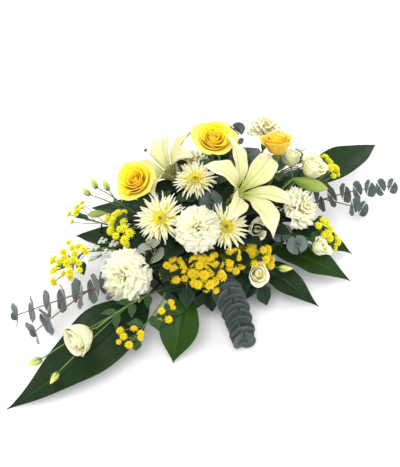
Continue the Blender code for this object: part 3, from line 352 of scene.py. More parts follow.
# Heads that only the looks have: their number as a share of those of a CAD patch, and patches like those
BUTTONS_MORE = {"left_front": 0.8}
BUTTONS_MORE_USUAL = 1.7
BUTTON_SHRINK = {"left_front": 0.74}
BUTTON_PATCHES_MORE = {
    "front": (((-0.018, -0.066, 0.090), (-0.05, -0.65, 0.76), 0.022, 0.012, 5),
              ((0.000, -0.086, 0.098), (0.05, -0.70, 0.71), 0.014, 0.012, 3),
              ((-0.078, -0.062, 0.114), (-0.30, -0.55, 0.78), 0.020, 0.007, 4)),
}
GOLDEN_BUTTONS = ("front", "left_front")

# Whorls of a button chrysanthemum from the bottom up, as shares of its size: rays, radius and height of
# their feet, length, slope
BUTTON_WHORLS = (
    (13, 0.26, 0.06, 0.76, 10),
    (12, 0.26, 0.18, 0.62, 30),
    (9, 0.24, 0.30, 0.44, 50),
    (6, 0.18, 0.38, 0.28, 68),
)
FILLER_CLUSTER = 6

GLOW_RADIUS = (1.0, 0.8, 0.4)  # how far red, green and blue light spread in petals and leaves
SOFT_EDGE = 0.0006  # bevel of the tray's edges
FLOOR_SIZE, FLOOR_COLOUR, WORLD_LIGHT = 12.0, (0.93, 0.93, 0.93, 1), 0.85
# Lights: name, place, size, power in watts
LIGHTS = (
    ("key", (-0.9, -0.7, 1.9), 1.2, 32.0),
    ("fill", (1.2, -1.0, 1.2), 1.4, 10.0),
    ("back", (0.4, 1.4, 1.4), 1.2, 12.0),
)

# The camera stands where the photograph was taken from: azimuth and elevation in degrees, metres
CAMERA_AZIMUTH, CAMERA_ELEVATION, CAMERA_DISTANCE = -132, 46, 1.3
CAMERA_LENS, SENSOR = 62.1, 36.0  # millimetres
CAMERA_TARGET = Vector((-0.026, 0.008, 0.080))


# Curves and outlines


def bezier(points, share):
    """The place at this share of the curve that the points steer."""
    points = [Vector(point) for point in points]
    while len(points) > 1:
        points = [a.lerp(b, share) for a, b in zip(points, points[1:])]
    return points[0]


def heading(points, share):
    step = 0.01
    return (bezier(points, min(share + step, 1)) - bezier(points, max(share - step, 0))).normalized()


def outline(share, widest, least, fineness=1.0):
    """Half-width of a leaf along its length, from 0 to 1 and back, never under the least."""
    share = min(max(share, 0), 1)
    return max(least, abs(sin(pi * share ** (log(0.5) / log(widest)))) ** fineness)


def arc(radius, height, length, start_slope, end_slope):
    """The middle line of a petal: its radius, height and slope at each share of its length."""
    start, turn = radians(start_slope), radians(end_slope - start_slope)

    def at(share):
        slope = start + turn * share
        bend = length / turn
        return radius + bend * (sin(slope) - sin(start)), height - bend * (cos(slope) - cos(start)), slope

    return at


def spot(path, share):
    """The place at a share of a path of straight pieces, and the way the path goes there."""
    lengths = [(b - a).length for a, b in zip(path, path[1:])]
    left = share * sum(lengths)
    for a, b, length in zip(path, path[1:], lengths):
        if left <= length or b is path[-1]:
            return a.lerp(b, min(left / length, 1)), (b - a).normalized()
        left -= length


def bent(points, steps):
    return [bezier(points, i / steps) for i in range(steps + 1)]


def facing_frame(place, direction, spin=0.0):
    """The axes of a flower at a place: Z the way it faces, turned about that by the spin."""
    turn = Vector(direction).to_track_quat("Z", "Y").to_matrix().to_4x4()
    return Matrix.Translation(place) @ turn @ Matrix.Rotation(spin, 4, "Z")


def bloom_axes(base, facing, spin):
    """The axes of a flower that sits just above the end of its stem."""
    return facing_frame(Vector(base) + facing * BLOOM_LIFT, facing, spin)


def swung(turn, radius, side, height):
    """A point at a radius and a turn about the flower's axis, moved to one side."""
    return radius * cos(turn) - side * sin(turn), radius * sin(turn) + side * cos(turn), height


def enlarged(profile, size):
    return [(radius * size, height * size) for radius, height in profile]


def rooted(points, steps=14):
    """The places along a stem: its end in the foam, then the curve from the mouth of its hole."""
    mouth = Vector(points[0])
    depth = TOP_DEPTH if mouth.z > FOAM_TOP - 0.001 else SIDE_DEPTH
    return [mouth - heading(points, 0) * depth] + bent(points, steps)


def bloom_path(mouth, base, facing):
    """The places along a stem that ends square under its flower."""
    mouth, base, facing = Vector(mouth), Vector(base), Vector(facing).normalized()
    return rooted((mouth, base - facing * 0.4 * (base - mouth).length, base - facing * 0.004))


def hump(value, middle, width):
    """1 at the middle, falling smoothly to 0 on both sides."""
    return exp(-(((value - middle) / width) ** 2))


# Meshes


@lru_cache(maxsize=None)
def sheet_faces(across, along):
    """Faces of a closed thin sheet: its upper grid, its lower grid and the rim between them."""
    row = across + 1
    below = row * (along + 1)
    faces = []
    for j in range(along):
        for i in range(across):
            a, b, c, d = j * row + i, j * row + i + 1, (j + 1) * row + i + 1, (j + 1) * row + i
            faces.append((a, b, c, d))
            faces.append((d + below, c + below, b + below, a + below))
    last = along * row
    for i in range(across):
        faces.append((i + 1, i, i + below, i + 1 + below))
        faces.append((last + i, last + i + 1, last + i + 1 + below, last + i + below))
    for j in range(along):
        left, right = j * row, j * row + across
        faces.append((right + row, right, right + below, right + row + below))
        faces.append((left, left + row, left + row + below, left + below))
    return np.array(faces)


@lru_cache(maxsize=None)
def ring_faces(rings, sides):
    """Side faces and end triangles of stacked rings, with a pole before the first and after the last."""
    quads, triangles = [], []
    last = 1 + (rings - 1) * sides
    for side in range(sides):
        after = (side + 1) % sides
        for ring in range(rings - 1):
            low, high = 1 + ring * sides, 1 + (ring + 1) * sides
            quads.append((low + side, low + after, high + after, high + side))
        triangles.append((0, 1 + after, 1 + side))
        triangles.append((last + sides, last + side, last + after))
    return np.array(quads).reshape(-1, 4), np.array(triangles)


class Shapes:
    """Petals, leaves and stalks that grow into one mesh.

    Each point keeps its place on its own petal or leaf: -1 to 1 across, 0 to 1 along, and the petal's tone.
    """

    def __init__(self, axes=None):
        self.axes = axes or Matrix()
        self.points, self.places, self.quads, self.triangles, self.count = [], [], [], [], 0

    def keep(self, points, places, quads, triangles):
        matrix = np.array(self.axes)
        self.points.append(points @ matrix[:3, :3].T + matrix[:3, 3])
        self.places.append(places)
        self.quads.append(quads + self.count)
        self.triangles.append(triangles + self.count)
        self.count += len(points)

    def sheet(self, across, along, shape, tone=0.5, thickness=PETAL_THICKNESS):
        """A closed thin sheet on both sides of shape(u, v), u from -1 to 1 across, v from 0 to 1 along."""
        wide, long = np.linspace(-1, 1, across + 1), np.linspace(0, 1, along + 1)
        middle = np.array([[tuple(shape(u, v)) for u in wide] for v in long])
        normal = np.cross(np.gradient(middle, axis=1), np.gradient(middle, axis=0))
        normal /= np.maximum(np.linalg.norm(normal, axis=2, keepdims=True), 1e-12)
        half = (thickness / 2 * (0.4 + 0.6 * (1 - wide**2)))[None, :, None]
        offset = normal * half
        points = np.concatenate([(middle + offset).reshape(-1, 3), (middle - offset).reshape(-1, 3)])
        u, v = np.meshgrid(wide, long)
        places = np.stack([u.ravel(), v.ravel(), np.full(u.size, tone)], axis=1)
        no_triangles = np.zeros((0, 3), int)
        self.keep(points, np.concatenate([places, places]), sheet_faces(across, along), no_triangles)

    def rings(self, rings, start, end, tone):
        """A closed body through rings of points, with its two poles."""
        count, sides, _ = rings.shape
        points = np.concatenate([[start], rings.reshape(-1, 3), [end]])
        share = np.repeat(np.linspace(0, 1, count), sides)
        round_it = np.tile(np.linspace(-1, 1, sides, endpoint=False), count)
        places = np.stack([round_it, share, np.full(count * sides, tone)], axis=1)
        places = np.concatenate([[(0, 0, tone)], places, [(0, 1, tone)]])
        self.keep(points, places, *ring_faces(count, sides))

    def tube(self, path, radius, sides=8, tone=0.5):
        """A closed rod along a path. The radius is one number, or one for each end."""
        path = [Vector(point) for point in path]
        start, end = radius if isinstance(radius, tuple) else (radius, radius)
        turns = np.linspace(0, 2 * pi, sides, endpoint=False)
        normal = (path[1] - path[0]).orthogonal().normalized()
        rings = []
        for i, place in enumerate(path):
            ahead = (path[min(i + 1, len(path) - 1)] - path[max(i - 1, 0)]).normalized()
            normal = (normal - ahead * normal.dot(ahead)).normalized()
            size = start + (end - start) * i / (len(path) - 1)
            across = np.outer(np.cos(turns), normal) + np.outer(np.sin(turns), ahead.cross(normal))
            rings.append(np.array(place) + size * across)
        self.rings(np.array(rings), path[0], path[-1], tone)

    def turned(self, profile, sides=12, tone=0.5, ribs=0, rib_depth=0.0):
        """A body turned round the axis from radii and heights, the first and last of them on the axis."""
        turns = np.linspace(0, 2 * pi, sides, endpoint=False)
        rings = []
        for radius, height in profile[1:-1]:
            reach = radius * (1 + rib_depth * np.cos(ribs * turns))
            ring = [reach * np.cos(turns), reach * np.sin(turns), np.full(sides, height)]
            rings.append(np.stack(ring, axis=1))
        self.rings(np.array(rings), (0, 0, profile[0][1]), (0, 0, profile[-1][1]), tone)


def piece(name, shapes, node, look):
    """One visible piece of the spray."""
    faces = np.concatenate(shapes.quads).tolist() + np.concatenate(shapes.triangles).tolist()
    mesh = bpy.data.meshes.new(name)
    mesh.from_pydata(np.concatenate(shapes.points).tolist(), [], faces)
    places = mesh.attributes.new("place", "FLOAT_VECTOR", "POINT")
    places.data.foreach_set("vector", np.concatenate(shapes.places).ravel())
    mesh.shade_smooth()
    mesh.materials.append(LOOKS[look])
    fix(add_object(name, mesh), node)


def add_object(name, data):
    obj = bpy.data.objects.new(name, data)
    bpy.context.scene.collection.objects.link(obj)
    return obj


def fix(obj, node):
    """Fixes an object to the part and in place of its CAD node, if it has one."""
    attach(obj, "root")
    if node:
        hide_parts(node)


# Materials


class Paint:
    """The nodes of one material."""

    def __init__(self, name, roughness, subsurface=0.0, depth=0.003, sheen=0.0, specular=0.5):
        self.material = bpy.data.materials.new(name)
        self.material.use_nodes = True
        self.tree = self.material.node_tree
        self.shader = self.tree.nodes["Principled BSDF"]
        for socket, value in (("Roughness", roughness), ("Specular IOR Level", specular),
                              ("Subsurface Weight", subsurface), ("Subsurface Scale", depth),
                              ("Subsurface Radius", GLOW_RADIUS), ("Sheen Weight", sheen)):
            self.shader.inputs[socket].default_value = value
        self.across, self.along, self.tone = self.place_on_petal()

    def put(self, socket, value):
        if isinstance(value, bpy.types.NodeSocket):
            self.tree.links.new(value, socket)
        elif isinstance(value, tuple) and len(value) == 3 and socket.type == "RGBA":
            socket.default_value = (*value, 1)
        else:
            socket.default_value = value

    def place_on_petal(self):
        place = self.node("Attribute")
        place.attribute_name = "place"
        return self.node("SeparateXYZ", place.outputs["Vector"]).outputs

    def node(self, kind, *values):
        """A new node, with its first sockets set or linked."""
        node = self.tree.nodes.new("ShaderNode" + kind)
        for socket, value in zip(node.inputs, values):
            self.put(socket, value)
        return node

    def math(self, operation, first, second=0.0):
        node = self.node("Math", first, second)
        node.operation = operation
        return node.outputs[0]

    def spread(self, value, low, high, to_low=0.0, to_high=1.0):
        """The value moved smoothly from one range to another."""
        node = self.node("MapRange", value, low, high, to_low, to_high)
        node.interpolation_type = "SMOOTHSTEP"
        return node.outputs[0]

    def mix(self, share, first, second):
        node = self.node("Mix", share)
        node.data_type = "RGBA"
        self.put(node.inputs[6], first)
        self.put(node.inputs[7], second)
        return node.outputs[2]

    def scaled(self, across, along):
        """The place on the petal with its two directions stretched, and its tone to tell petals apart."""
        stretched = [self.math("MULTIPLY", place, by) for place, by in
                     ((self.across, across), (self.along, along), (self.tone, 40.0))]
        return self.node("CombineXYZ", *stretched).outputs[0]

    def noise(self, scale, detail=3.0, vector=None):
        node = self.node("TexNoise", vector or self.node("TexCoord").outputs["Object"])
        node.inputs["Scale"].default_value = scale
        node.inputs["Detail"].default_value = detail
        return node.outputs[0]

    def midrib(self, width):
        """1 on the middle line, 0 beyond the width."""
        return self.spread(self.math("ABSOLUTE", self.across), 0.0, width, 1.0, 0.0)

    def finish(self, colour, height, distance, roughness=None):
        """Links the colour, the relief and, where it varies, the roughness."""
        self.put(self.shader.inputs["Base Color"], colour)
        if roughness is not None:
            self.put(self.shader.inputs["Roughness"], roughness)
        bump = self.node("Bump")
        bump.inputs["Distance"].default_value = distance
        self.put(bump.inputs["Height"], height)
        self.put(self.shader.inputs["Normal"], bump.outputs[0])
        return self.material


def leaf_look(name, dark, light, rib, veins, roughness):
    """A leathery leaf: fine veins, a paler midrib and uneven green."""
    paint = Paint(name, roughness, subsurface=0.05, depth=0.002, specular=0.15)
    patches = paint.spread(paint.noise(28.0), 0.25, 0.75)
    colour = paint.mix(paint.math("MULTIPLY_ADD", paint.tone, 0.5), dark, light)
    colour = paint.mix(paint.math("MULTIPLY", patches, 0.6), colour, light)
    streaks = paint.noise(1.0, 2.0, paint.scaled(veins, 2.0))
    colour = paint.mix(paint.spread(streaks, 0.45, 0.8, 0.0, 0.35), colour, dark)
    colour = paint.mix(paint.math("MULTIPLY", paint.midrib(0.07), 0.7), colour, rib)
    relief = paint.math("ADD", streaks, paint.math("MULTIPLY", paint.midrib(0.07), -0.8))
    shine = paint.spread(paint.noise(60.0), 0.3, 0.7, roughness - 0.06, roughness + 0.10)
    return paint.finish(colour, relief, 0.0004, shine)


def eucalyptus_look(name, deep, bloom):
    """A waxy round leaf: grey bloom rubbed off in patches, and faint veins that leave the foot."""
    paint = Paint(name, 0.6, subsurface=0.04, depth=0.002, sheen=0.15)
    wax = paint.spread(paint.noise(90.0, 4.0), 0.35, 0.65)
    colour = paint.mix(paint.math("MULTIPLY", wax, 0.7), deep, bloom)
    colour = paint.mix(paint.math("MULTIPLY", paint.tone, 0.45), colour, bloom)
    fans = paint.noise(1.0, 2.0, paint.scaled(7.0, 1.5))
    colour = paint.mix(paint.spread(fans, 0.55, 0.75, 0.0, 0.25), colour, deep)
    colour = paint.mix(paint.math("MULTIPLY", paint.midrib(0.10), 0.45), colour, bloom)
    return paint.finish(colour, fans, 0.0003)


def petal_look(name, foot, blade, edge, veins=9.0, roughness=0.55, foot_end=0.35, tone_to=None, shift=0.35,
               rib=0.0, relief=0.0003, glow=0.35):
    """A petal: one colour at its foot, one on its blade and one at its edge, with fine veins along it."""
    paint = Paint(name, roughness, subsurface=glow, depth=0.004, sheen=0.10, specular=0.3)
    colour = paint.mix(paint.spread(paint.along, 0.02, foot_end), foot, blade)
    colour = paint.mix(paint.spread(paint.along, 0.55, 1.0, 0.0, 0.9), colour, edge)
    if tone_to:
        colour = paint.mix(paint.math("MULTIPLY", paint.tone, shift), colour, tone_to)
    lines = paint.noise(1.0, 2.0, paint.scaled(veins, 1.6))
    colour = paint.mix(paint.spread(lines, 0.5, 0.8, 0.0, 0.18), colour, foot)
    colour = paint.mix(paint.math("MULTIPLY", paint.midrib(0.16), rib), colour, foot)
    return paint.finish(colour, lines, relief)


def stalk_look(name, low, high):
    """A stalk: streaks along it and a change of green from end to end."""
    paint = Paint(name, 0.5, subsurface=0.05, depth=0.002)
    streaks = paint.noise(1.0, 3.0, paint.scaled(5.0, 6.0))
    colour = paint.mix(paint.spread(paint.along, 0.0, 1.0), low, high)
    colour = paint.mix(paint.spread(streaks, 0.4, 0.7, 0.0, 0.4), colour, low)
    return paint.finish(colour, streaks, 0.0002)


def grain_look(name, dark, light, scale, distance, roughness):
    """A fine-grained surface, such as foam or moulded plastic."""
    paint = Paint(name, roughness, specular=0.3)
    grain = paint.noise(scale, 6.0)
    colour = paint.mix(paint.spread(grain, 0.35, 0.65), dark, light)
    stains = paint.spread(paint.noise(35.0), 0.4, 0.7, 0.0, 0.5)
    return paint.finish(paint.mix(stains, colour, dark), grain, distance)


def centre_look(name, middle, rim, scale):
    """The middle of a daisy: packed florets, one colour in the middle and one at the rim."""
    paint = Paint(name, 0.7, subsurface=0.15, depth=0.003)
    cells = paint.noise(scale, 4.0)
    colour = paint.mix(paint.spread(paint.along, 0.55, 0.95), rim, middle)
    colour = paint.mix(paint.spread(cells, 0.45, 0.75, 0.0, 0.5), colour, middle)
    return paint.finish(colour, cells, 0.0008)


LOOKS = {
    "aspidistra": leaf_look("aspidistra leaf", (0.002, 0.009, 0.003), (0.009, 0.030, 0.005),
                            (0.03, 0.07, 0.015), 24.0, 0.42),
    # A lighter copy of the aspidistra paint: painted light on the front leaves
    "aspidistra_painted_lit": leaf_look("bright aspidistra leaf", (0.005, 0.019, 0.002), (0.018, 0.058, 0.004),
                                   (0.05, 0.11, 0.02), 24.0, 0.42),
    "salal": leaf_look("salal leaf", (0.004, 0.013, 0.007), (0.012, 0.034, 0.016),
                       (0.05, 0.09, 0.04), 9.0, 0.40),
    # Darker than the salal: the leaves' own green with painted shade for the gaps between the flowers
    "undergrowth": leaf_look("undergrowth leaf", (0.003, 0.010, 0.005), (0.010, 0.026, 0.010),
                             (0.03, 0.05, 0.02), 9.0, 0.45),
    "stem_leaf": leaf_look("flower stem leaf", (0.012, 0.032, 0.013), (0.040, 0.085, 0.030),
                           (0.11, 0.18, 0.07), 8.0, 0.45),
    "eucalyptus": eucalyptus_look("eucalyptus leaf", (0.040, 0.066, 0.056), (0.110, 0.148, 0.136)),
    "eucalyptus_pale": eucalyptus_look("pale eucalyptus leaf", (0.170, 0.200, 0.130), (0.300, 0.335, 0.250)),
    "eucalyptus_dark": eucalyptus_look("dark eucalyptus leaf", (0.020, 0.036, 0.030), (0.060, 0.086, 0.076)),
    "eucalyptus_twig": stalk_look("eucalyptus twig", (0.13, 0.06, 0.035), (0.22, 0.14, 0.085)),
    "stem": stalk_look("green stem", (0.050, 0.105, 0.018), (0.125, 0.220, 0.040)),
    "rose": petal_look("rose petal", (0.93, 0.38, 0.002), (0.98, 0.62, 0.003), (0.99, 0.76, 0.012),
                       veins=10.0, tone_to=(0.98, 0.50, 0.003), foot_end=0.7, glow=0.4),
    "rose_orange": petal_look("orange rose petal", (0.90, 0.26, 0.004), (0.98, 0.46, 0.008),
                              (0.99, 0.62, 0.030), veins=10.0, tone_to=(0.96, 0.36, 0.006), foot_end=0.7,
                              glow=0.4),
    "rose_guard_orange": petal_look("outer orange rose petal", (0.92, 0.36, 0.006), (0.97, 0.54, 0.02),
                                    (0.97, 0.68, 0.10), veins=10.0, tone_to=(0.95, 0.62, 0.06), glow=0.4),
    "rose_guard": petal_look("outer rose petal", (0.94, 0.52, 0.005), (0.97, 0.70, 0.02), (0.92, 0.80, 0.18),
                             veins=10.0, tone_to=(0.94, 0.74, 0.08), glow=0.4),
    "lily": petal_look("lily tepal", (0.36, 0.43, 0.07), (0.68, 0.64, 0.33), (0.82, 0.77, 0.56), veins=9.0,
                       roughness=0.45, foot_end=0.42, rib=0.5, relief=0.0016, glow=0.2),
    "pistil": stalk_look("lily pistil", (0.45, 0.55, 0.12), (0.62, 0.66, 0.22)),
    "stigma": centre_look("lily stigma", (0.060, 0.020, 0.012), (0.120, 0.045, 0.020), 500.0),
    "lily_bud": stalk_look("lily bud", (0.13, 0.22, 0.02), (0.34, 0.40, 0.07)),
    "carnation": petal_look("carnation petal", (0.94, 0.82, 0.28), (0.90, 0.84, 0.46), (0.90, 0.89, 0.70),
                            veins=12.0, roughness=0.65, foot_end=0.70, tone_to=(0.92, 0.82, 0.38), glow=0.45),
    "mum": petal_look("spider mum ray", (0.94, 0.78, 0.02), (0.92, 0.87, 0.44), (0.94, 0.91, 0.72),
                      veins=2.0, roughness=0.6, foot_end=0.75, glow=0.5),
    "mum_florets": petal_look("spider mum florets", (0.80, 0.62, 0.01), (0.95, 0.80, 0.01),
                              (0.96, 0.86, 0.03), glow=0.5),
    "mum_centre": centre_look("spider mum centre", (0.14, 0.11, 0.01), (0.50, 0.40, 0.02), 900.0),
    "lisianthus": petal_look("lisianthus petal", (0.70, 0.66, 0.16), (0.88, 0.83, 0.42), (0.92, 0.89, 0.60),
                             veins=9.0, glow=0.6, foot_end=0.6),
    "lisianthus_middle": stalk_look("lisianthus pistil", (0.34, 0.40, 0.05), (0.78, 0.60, 0.06)),
    "lisianthus_bud": petal_look("lisianthus bud", (0.22, 0.34, 0.06), (0.52, 0.58, 0.15),
                                 (0.78, 0.78, 0.32)),
    "button": petal_look("button mum ray", (0.94, 0.78, 0.003), (0.97, 0.92, 0.006), (0.98, 0.98, 0.020),
                         veins=3.0, tone_to=(0.96, 0.82, 0.004), shift=0.5, glow=0.5),
    "button_gold": petal_look("golden button mum ray", (0.84, 0.54, 0.002), (0.93, 0.70, 0.003),
                              (0.96, 0.82, 0.008), veins=3.0, tone_to=(0.86, 0.52, 0.003), shift=0.8,
                              glow=0.4),
    "button_centre": centre_look("button mum centre", (0.50, 0.32, 0.006), (0.94, 0.74, 0.005), 900.0),
    "filler": petal_look("filler floret", (0.45, 0.52, 0.20), (0.82, 0.84, 0.66), (0.90, 0.91, 0.80)),
    "tray": grain_look("moulded plastic", (0.014, 0.032, 0.016), (0.024, 0.050, 0.026), 900.0, 0.0001, 0.42),
    "foam": grain_look("wet floral foam", (0.006, 0.018, 0.008), (0.024, 0.055, 0.026), 1400.0, 0.0012, 0.95),
}


# Leaves


def small_leaf(shapes, base, direction, length, half_width, rng, teeth=0, across=8, along=12):
    """A leaf that leaves its stem in a direction and droops. Teeth are the points along each edge."""
    base, direction = Vector(base), Vector(direction).normalized()
    side = direction.cross(UP).normalized()
    above = side.cross(direction)
    wave = rng.uniform(0, 2 * pi)

    def shape(u, v):
        half = half_width * outline(v, 0.45, 0.03)
        if teeth and abs(u) > 0.9:
            half *= 1.04 + 0.10 * (v * teeth % 1)
        lift = half * (0.32 * abs(u) - 0.10 * hump(u, 0, 0.15) + 0.12 * u * u * sin(11 * v + wave))
        return base + direction * length * v + side * u * half + above * (lift - LEAF_DROOP * length * v * v)

    shapes.sheet(across, along, shape, rng.random(), LEAF_THICKNESS)


def stem_leaves(shapes, path, shares, length, half_width, rng, teeth=0):
    """Leaves along a flower's stem, each turned from the last by the golden angle."""
    for i, share in enumerate(shares):
        place, ahead = spot(path, share)
        out = Matrix.Rotation(GOLDEN_ANGLE * i + rng.uniform(-0.3, 0.3), 3, ahead) @ ahead.orthogonal()
        size = length * rng.uniform(0.85, 1.10)
        small_leaf(shapes, place, out + ahead * 0.5, size, half_width, rng, teeth)


def make_aspidistra(name, *leaf):
    """A strap-like leaf on a curved midrib: channelled, ribbed and waved, with its stalk running on below."""
    *points, width, widest = leaf
    rng = Random("aspidistra " + name)
    wave = rng.uniform(0, 2 * pi)

    def shape(u, v):
        share = PETIOLE_SHARE + (1 - PETIOLE_SHARE) * v
        ahead = heading(points, share)
        side = ahead.cross(UP).normalized()
        above = side.cross(ahead)
        half = width / 2 * outline(v, widest, 0.012, 1.2)
        lift = half * (0.22 * abs(u) ** 1.5 + 0.08 * u * sin(7 * v))
        lift += half * (0.05 * u * u * sin(17 * v + wave) - 0.05 * hump(u, 0, 0.07))
        lift += VEIN_DEPTH * cos(9 * pi * u)
        return bezier(points, share) + side * u * half + above * lift

    shapes = Shapes()
    steps = 60 if (Vector(points[0]) - Vector(points[-1])).length > LONG_LEAF else 40
    shapes.sheet(30, steps, shape, rng.random(), BLADE_THICKNESS)
    stalk = rooted(points, 40)[:8]
    shapes.tube(stalk, PETIOLE_RADIUS)
    rib = [bezier(points, 0.15 + 0.55 * i / 16) - UP * RIB_DEPTH for i in range(17)]
    shapes.tube([stalk[-1]] + rib, (PETIOLE_RADIUS * 0.95, RIB_END))
    # The front leaves take the copy with painted light
    look = "aspidistra_painted_lit" if name in PAINTED_LIT_ASPIDISTRA else "aspidistra"
    piece("leaf_" + name, shapes, "aspidistra_" + name, look)


def make_salal(name, points, size):
    rng = Random("salal " + name)
    path = rooted(points)
    leaves, stalks = Shapes(), Shapes()
    stalks.tube(path, STALKS["salal"])
    last = SALAL_LEAVES - 1
    for i in range(SALAL_LEAVES):
        place, ahead = spot(path[1:], 0.30 + 0.69 * i / last)
        side = ahead.cross(UP).normalized() * (1 if i % 2 else -1)
        direction = ahead if i == last else ahead * 0.45 + side + UP * rng.uniform(0, 0.3)
        length = size * rng.uniform(0.88, 1.05)
        foot = place + direction.normalized() * length * 0.10
        stalks.tube((place, foot + direction.normalized() * 0.004), STALKS["salal_leaf"], 6)
        small_leaf(leaves, foot, direction, length * 0.92, size * 0.32, rng, across=12, along=16)
    node = "salal_" + name
    piece("salal_leaves_" + name, leaves, node, "salal")
    piece("salal_twig_" + name, stalks, node, "eucalyptus_twig")


def make_undergrowth():
    """Leaves on short stems that stand in the foam between the flowers and close the gaps; their dark paint
    is partly the leaves' own green and partly painted shade.
    """
    rng = Random("undergrowth")
    leaves, stalks = Shapes(), Shapes()
    radius = STALKS["undergrowth"]
    for i in range(UNDERGROWTH):
        share = (i + 0.5) / UNDERGROWTH
        turn, spread = GOLDEN_ANGLE * i, share**0.5
        way = Vector((cos(turn), sin(turn), 0))
        foot = Vector((FOAM_LENGTH * 0.44 * spread * way.x, FOAM_WIDTH * 0.42 * spread * way.y, FOAM_TOP))
        foot -= UP * UNDERGROWTH_DEPTH
        rise = UNDERGROWTH_RISE * (1.15 - 0.75 * share) * rng.uniform(0.8, 1.15)
        tip = foot + way * 0.030 * spread + UP * rise
        stalks.tube(bent((foot, foot + UP * rise * 0.6, tip), 6), radius, 6)
        direction = way * rng.uniform(0.7, 1.0) + UP * rng.uniform(0.25, 0.60)
        length = rng.uniform(*UNDERGROWTH_LEAF)
        small_leaf(leaves, tip, direction, length, length * 0.33, rng, across=10, along=14)
    for mouth, foot, direction, length, half_width in TALL_LEAVES:
        mouth, foot = Vector(mouth), Vector(foot)
        curve = (mouth - UP * UNDERGROWTH_DEPTH, mouth.lerp(foot, 0.5) + UP * 0.008, foot)
        stalks.tube(bent(curve, 8), radius, 6)
        small_leaf(leaves, foot, direction, length, half_width, rng, across=10, along=14)
    piece("undergrowth_leaves", leaves, None, "undergrowth")
    piece("undergrowth_stems", stalks, None, "stem")


def round_leaf(shapes, place, along, normal, size, rng):
    """A round eucalyptus leaf, its foot in the stem, dished and a little uneven."""
    side = along.cross(normal)
    dish, wave = rng.uniform(0.06, 0.16), rng.uniform(0, 2 * pi)
    oval = rng.uniform(0.92, 1.04)

    def shape(u, v):
        reach = 1.5 * (1 - cos(pi * v / 2) ** 1.4)
        up = size * reach
        half = 1.32 * size * oval * max(0.02, 1 - (reach / 1.5) ** 2.4) ** 0.5 * min(1, 0.15 + 5 * v)
        lift = size * (dish * (u * sin(pi * v)) ** 2 + 0.05 * sin(2.5 * u + 5 * v + wave) * v)
        lift -= 0.0005 * hump(u, 0, 0.12)
        return place + along * (0.0008 + up) + side * u * half + normal * lift

    shapes.sheet(12, 14, shape, rng.random(), LEAF_THICKNESS)


def leaf_pair(ahead, turn, lean, lift=0.0):
    """The way each leaf of a pair points, and the way its face looks."""
    ahead = (ahead + UP * lift).normalized()
    side = Matrix.Rotation(turn, 3, ahead) @ ahead.cross(UP).normalized()
    for out in (side, -side):
        yield out * cos(lean) + ahead * sin(lean), ahead * cos(lean) - out * sin(lean)


def make_eucalyptus(name, branches, leaf_size, lean, lift):
    rng = Random("eucalyptus " + name)
    leaves, twigs = Shapes(), Shapes()
    for number, (points, pairs) in enumerate(branches):
        path = bent(points, 14) if number else rooted(points)
        twigs.tube(path, STALKS["eucalyptus_side" if number else "eucalyptus"])
        reach = 0.75 if pairs > 3 else 0.45
        shown = pairs * EUCALYPTUS_PAIRS.get(name, 1)
        for i in range(shown):
            share = i / shown
            place, ahead = spot(path if number else path[1:], 0.985 - reach * share)
            size = leaf_size * (0.82 + 0.28 * share) * rng.uniform(0.94, 1.03)
            turn = radians(EUCALYPTUS_TWIST * i + rng.uniform(-10, 10))
            for along, normal in leaf_pair(ahead, turn, radians(lean + rng.uniform(-6, 6)), lift):
                round_leaf(leaves, place, along, normal, size, rng)
        tip, ahead = spot(path, 1.0)
        for along, normal in leaf_pair(ahead, radians(45), radians(60)):
            round_leaf(leaves, tip, along, normal, leaf_size * 0.3, rng)
    node = "eucalyptus_" + name
    piece("eucalyptus_leaves_" + name, leaves, node, EUCALYPTUS_LOOKS.get(name, "eucalyptus"))
    piece("eucalyptus_twig_" + name, twigs, node, "eucalyptus_twig")


# Flowers


def wrapped_petal(shapes, middle, turn, half_angle, droop, lip, ruffle, rng, across=14, along=10):
    """A petal bent round the flower's axis, with a rolled lip. One edge passes its neighbour outside."""
    wave, tone = rng.uniform(0, 2 * pi), rng.random()

    def shape(u, v):
        radius, height, _ = middle(v)
        roll = max(0, (v - 0.75) / 0.25) ** 2
        radius *= 1 + 0.07 * u + ruffle * v * v * sin(3.3 * u + wave)
        radius += lip * roll * (1.2 + 0.5 * sin(2 * u + wave))
        height -= droop * u * u * v + lip * roll * 0.6
        return swung(turn + u * half_angle * (0.12 + 2.79 * v - 2.06 * v * v), radius, 0, height)

    shapes.sheet(across, along, shape, tone)


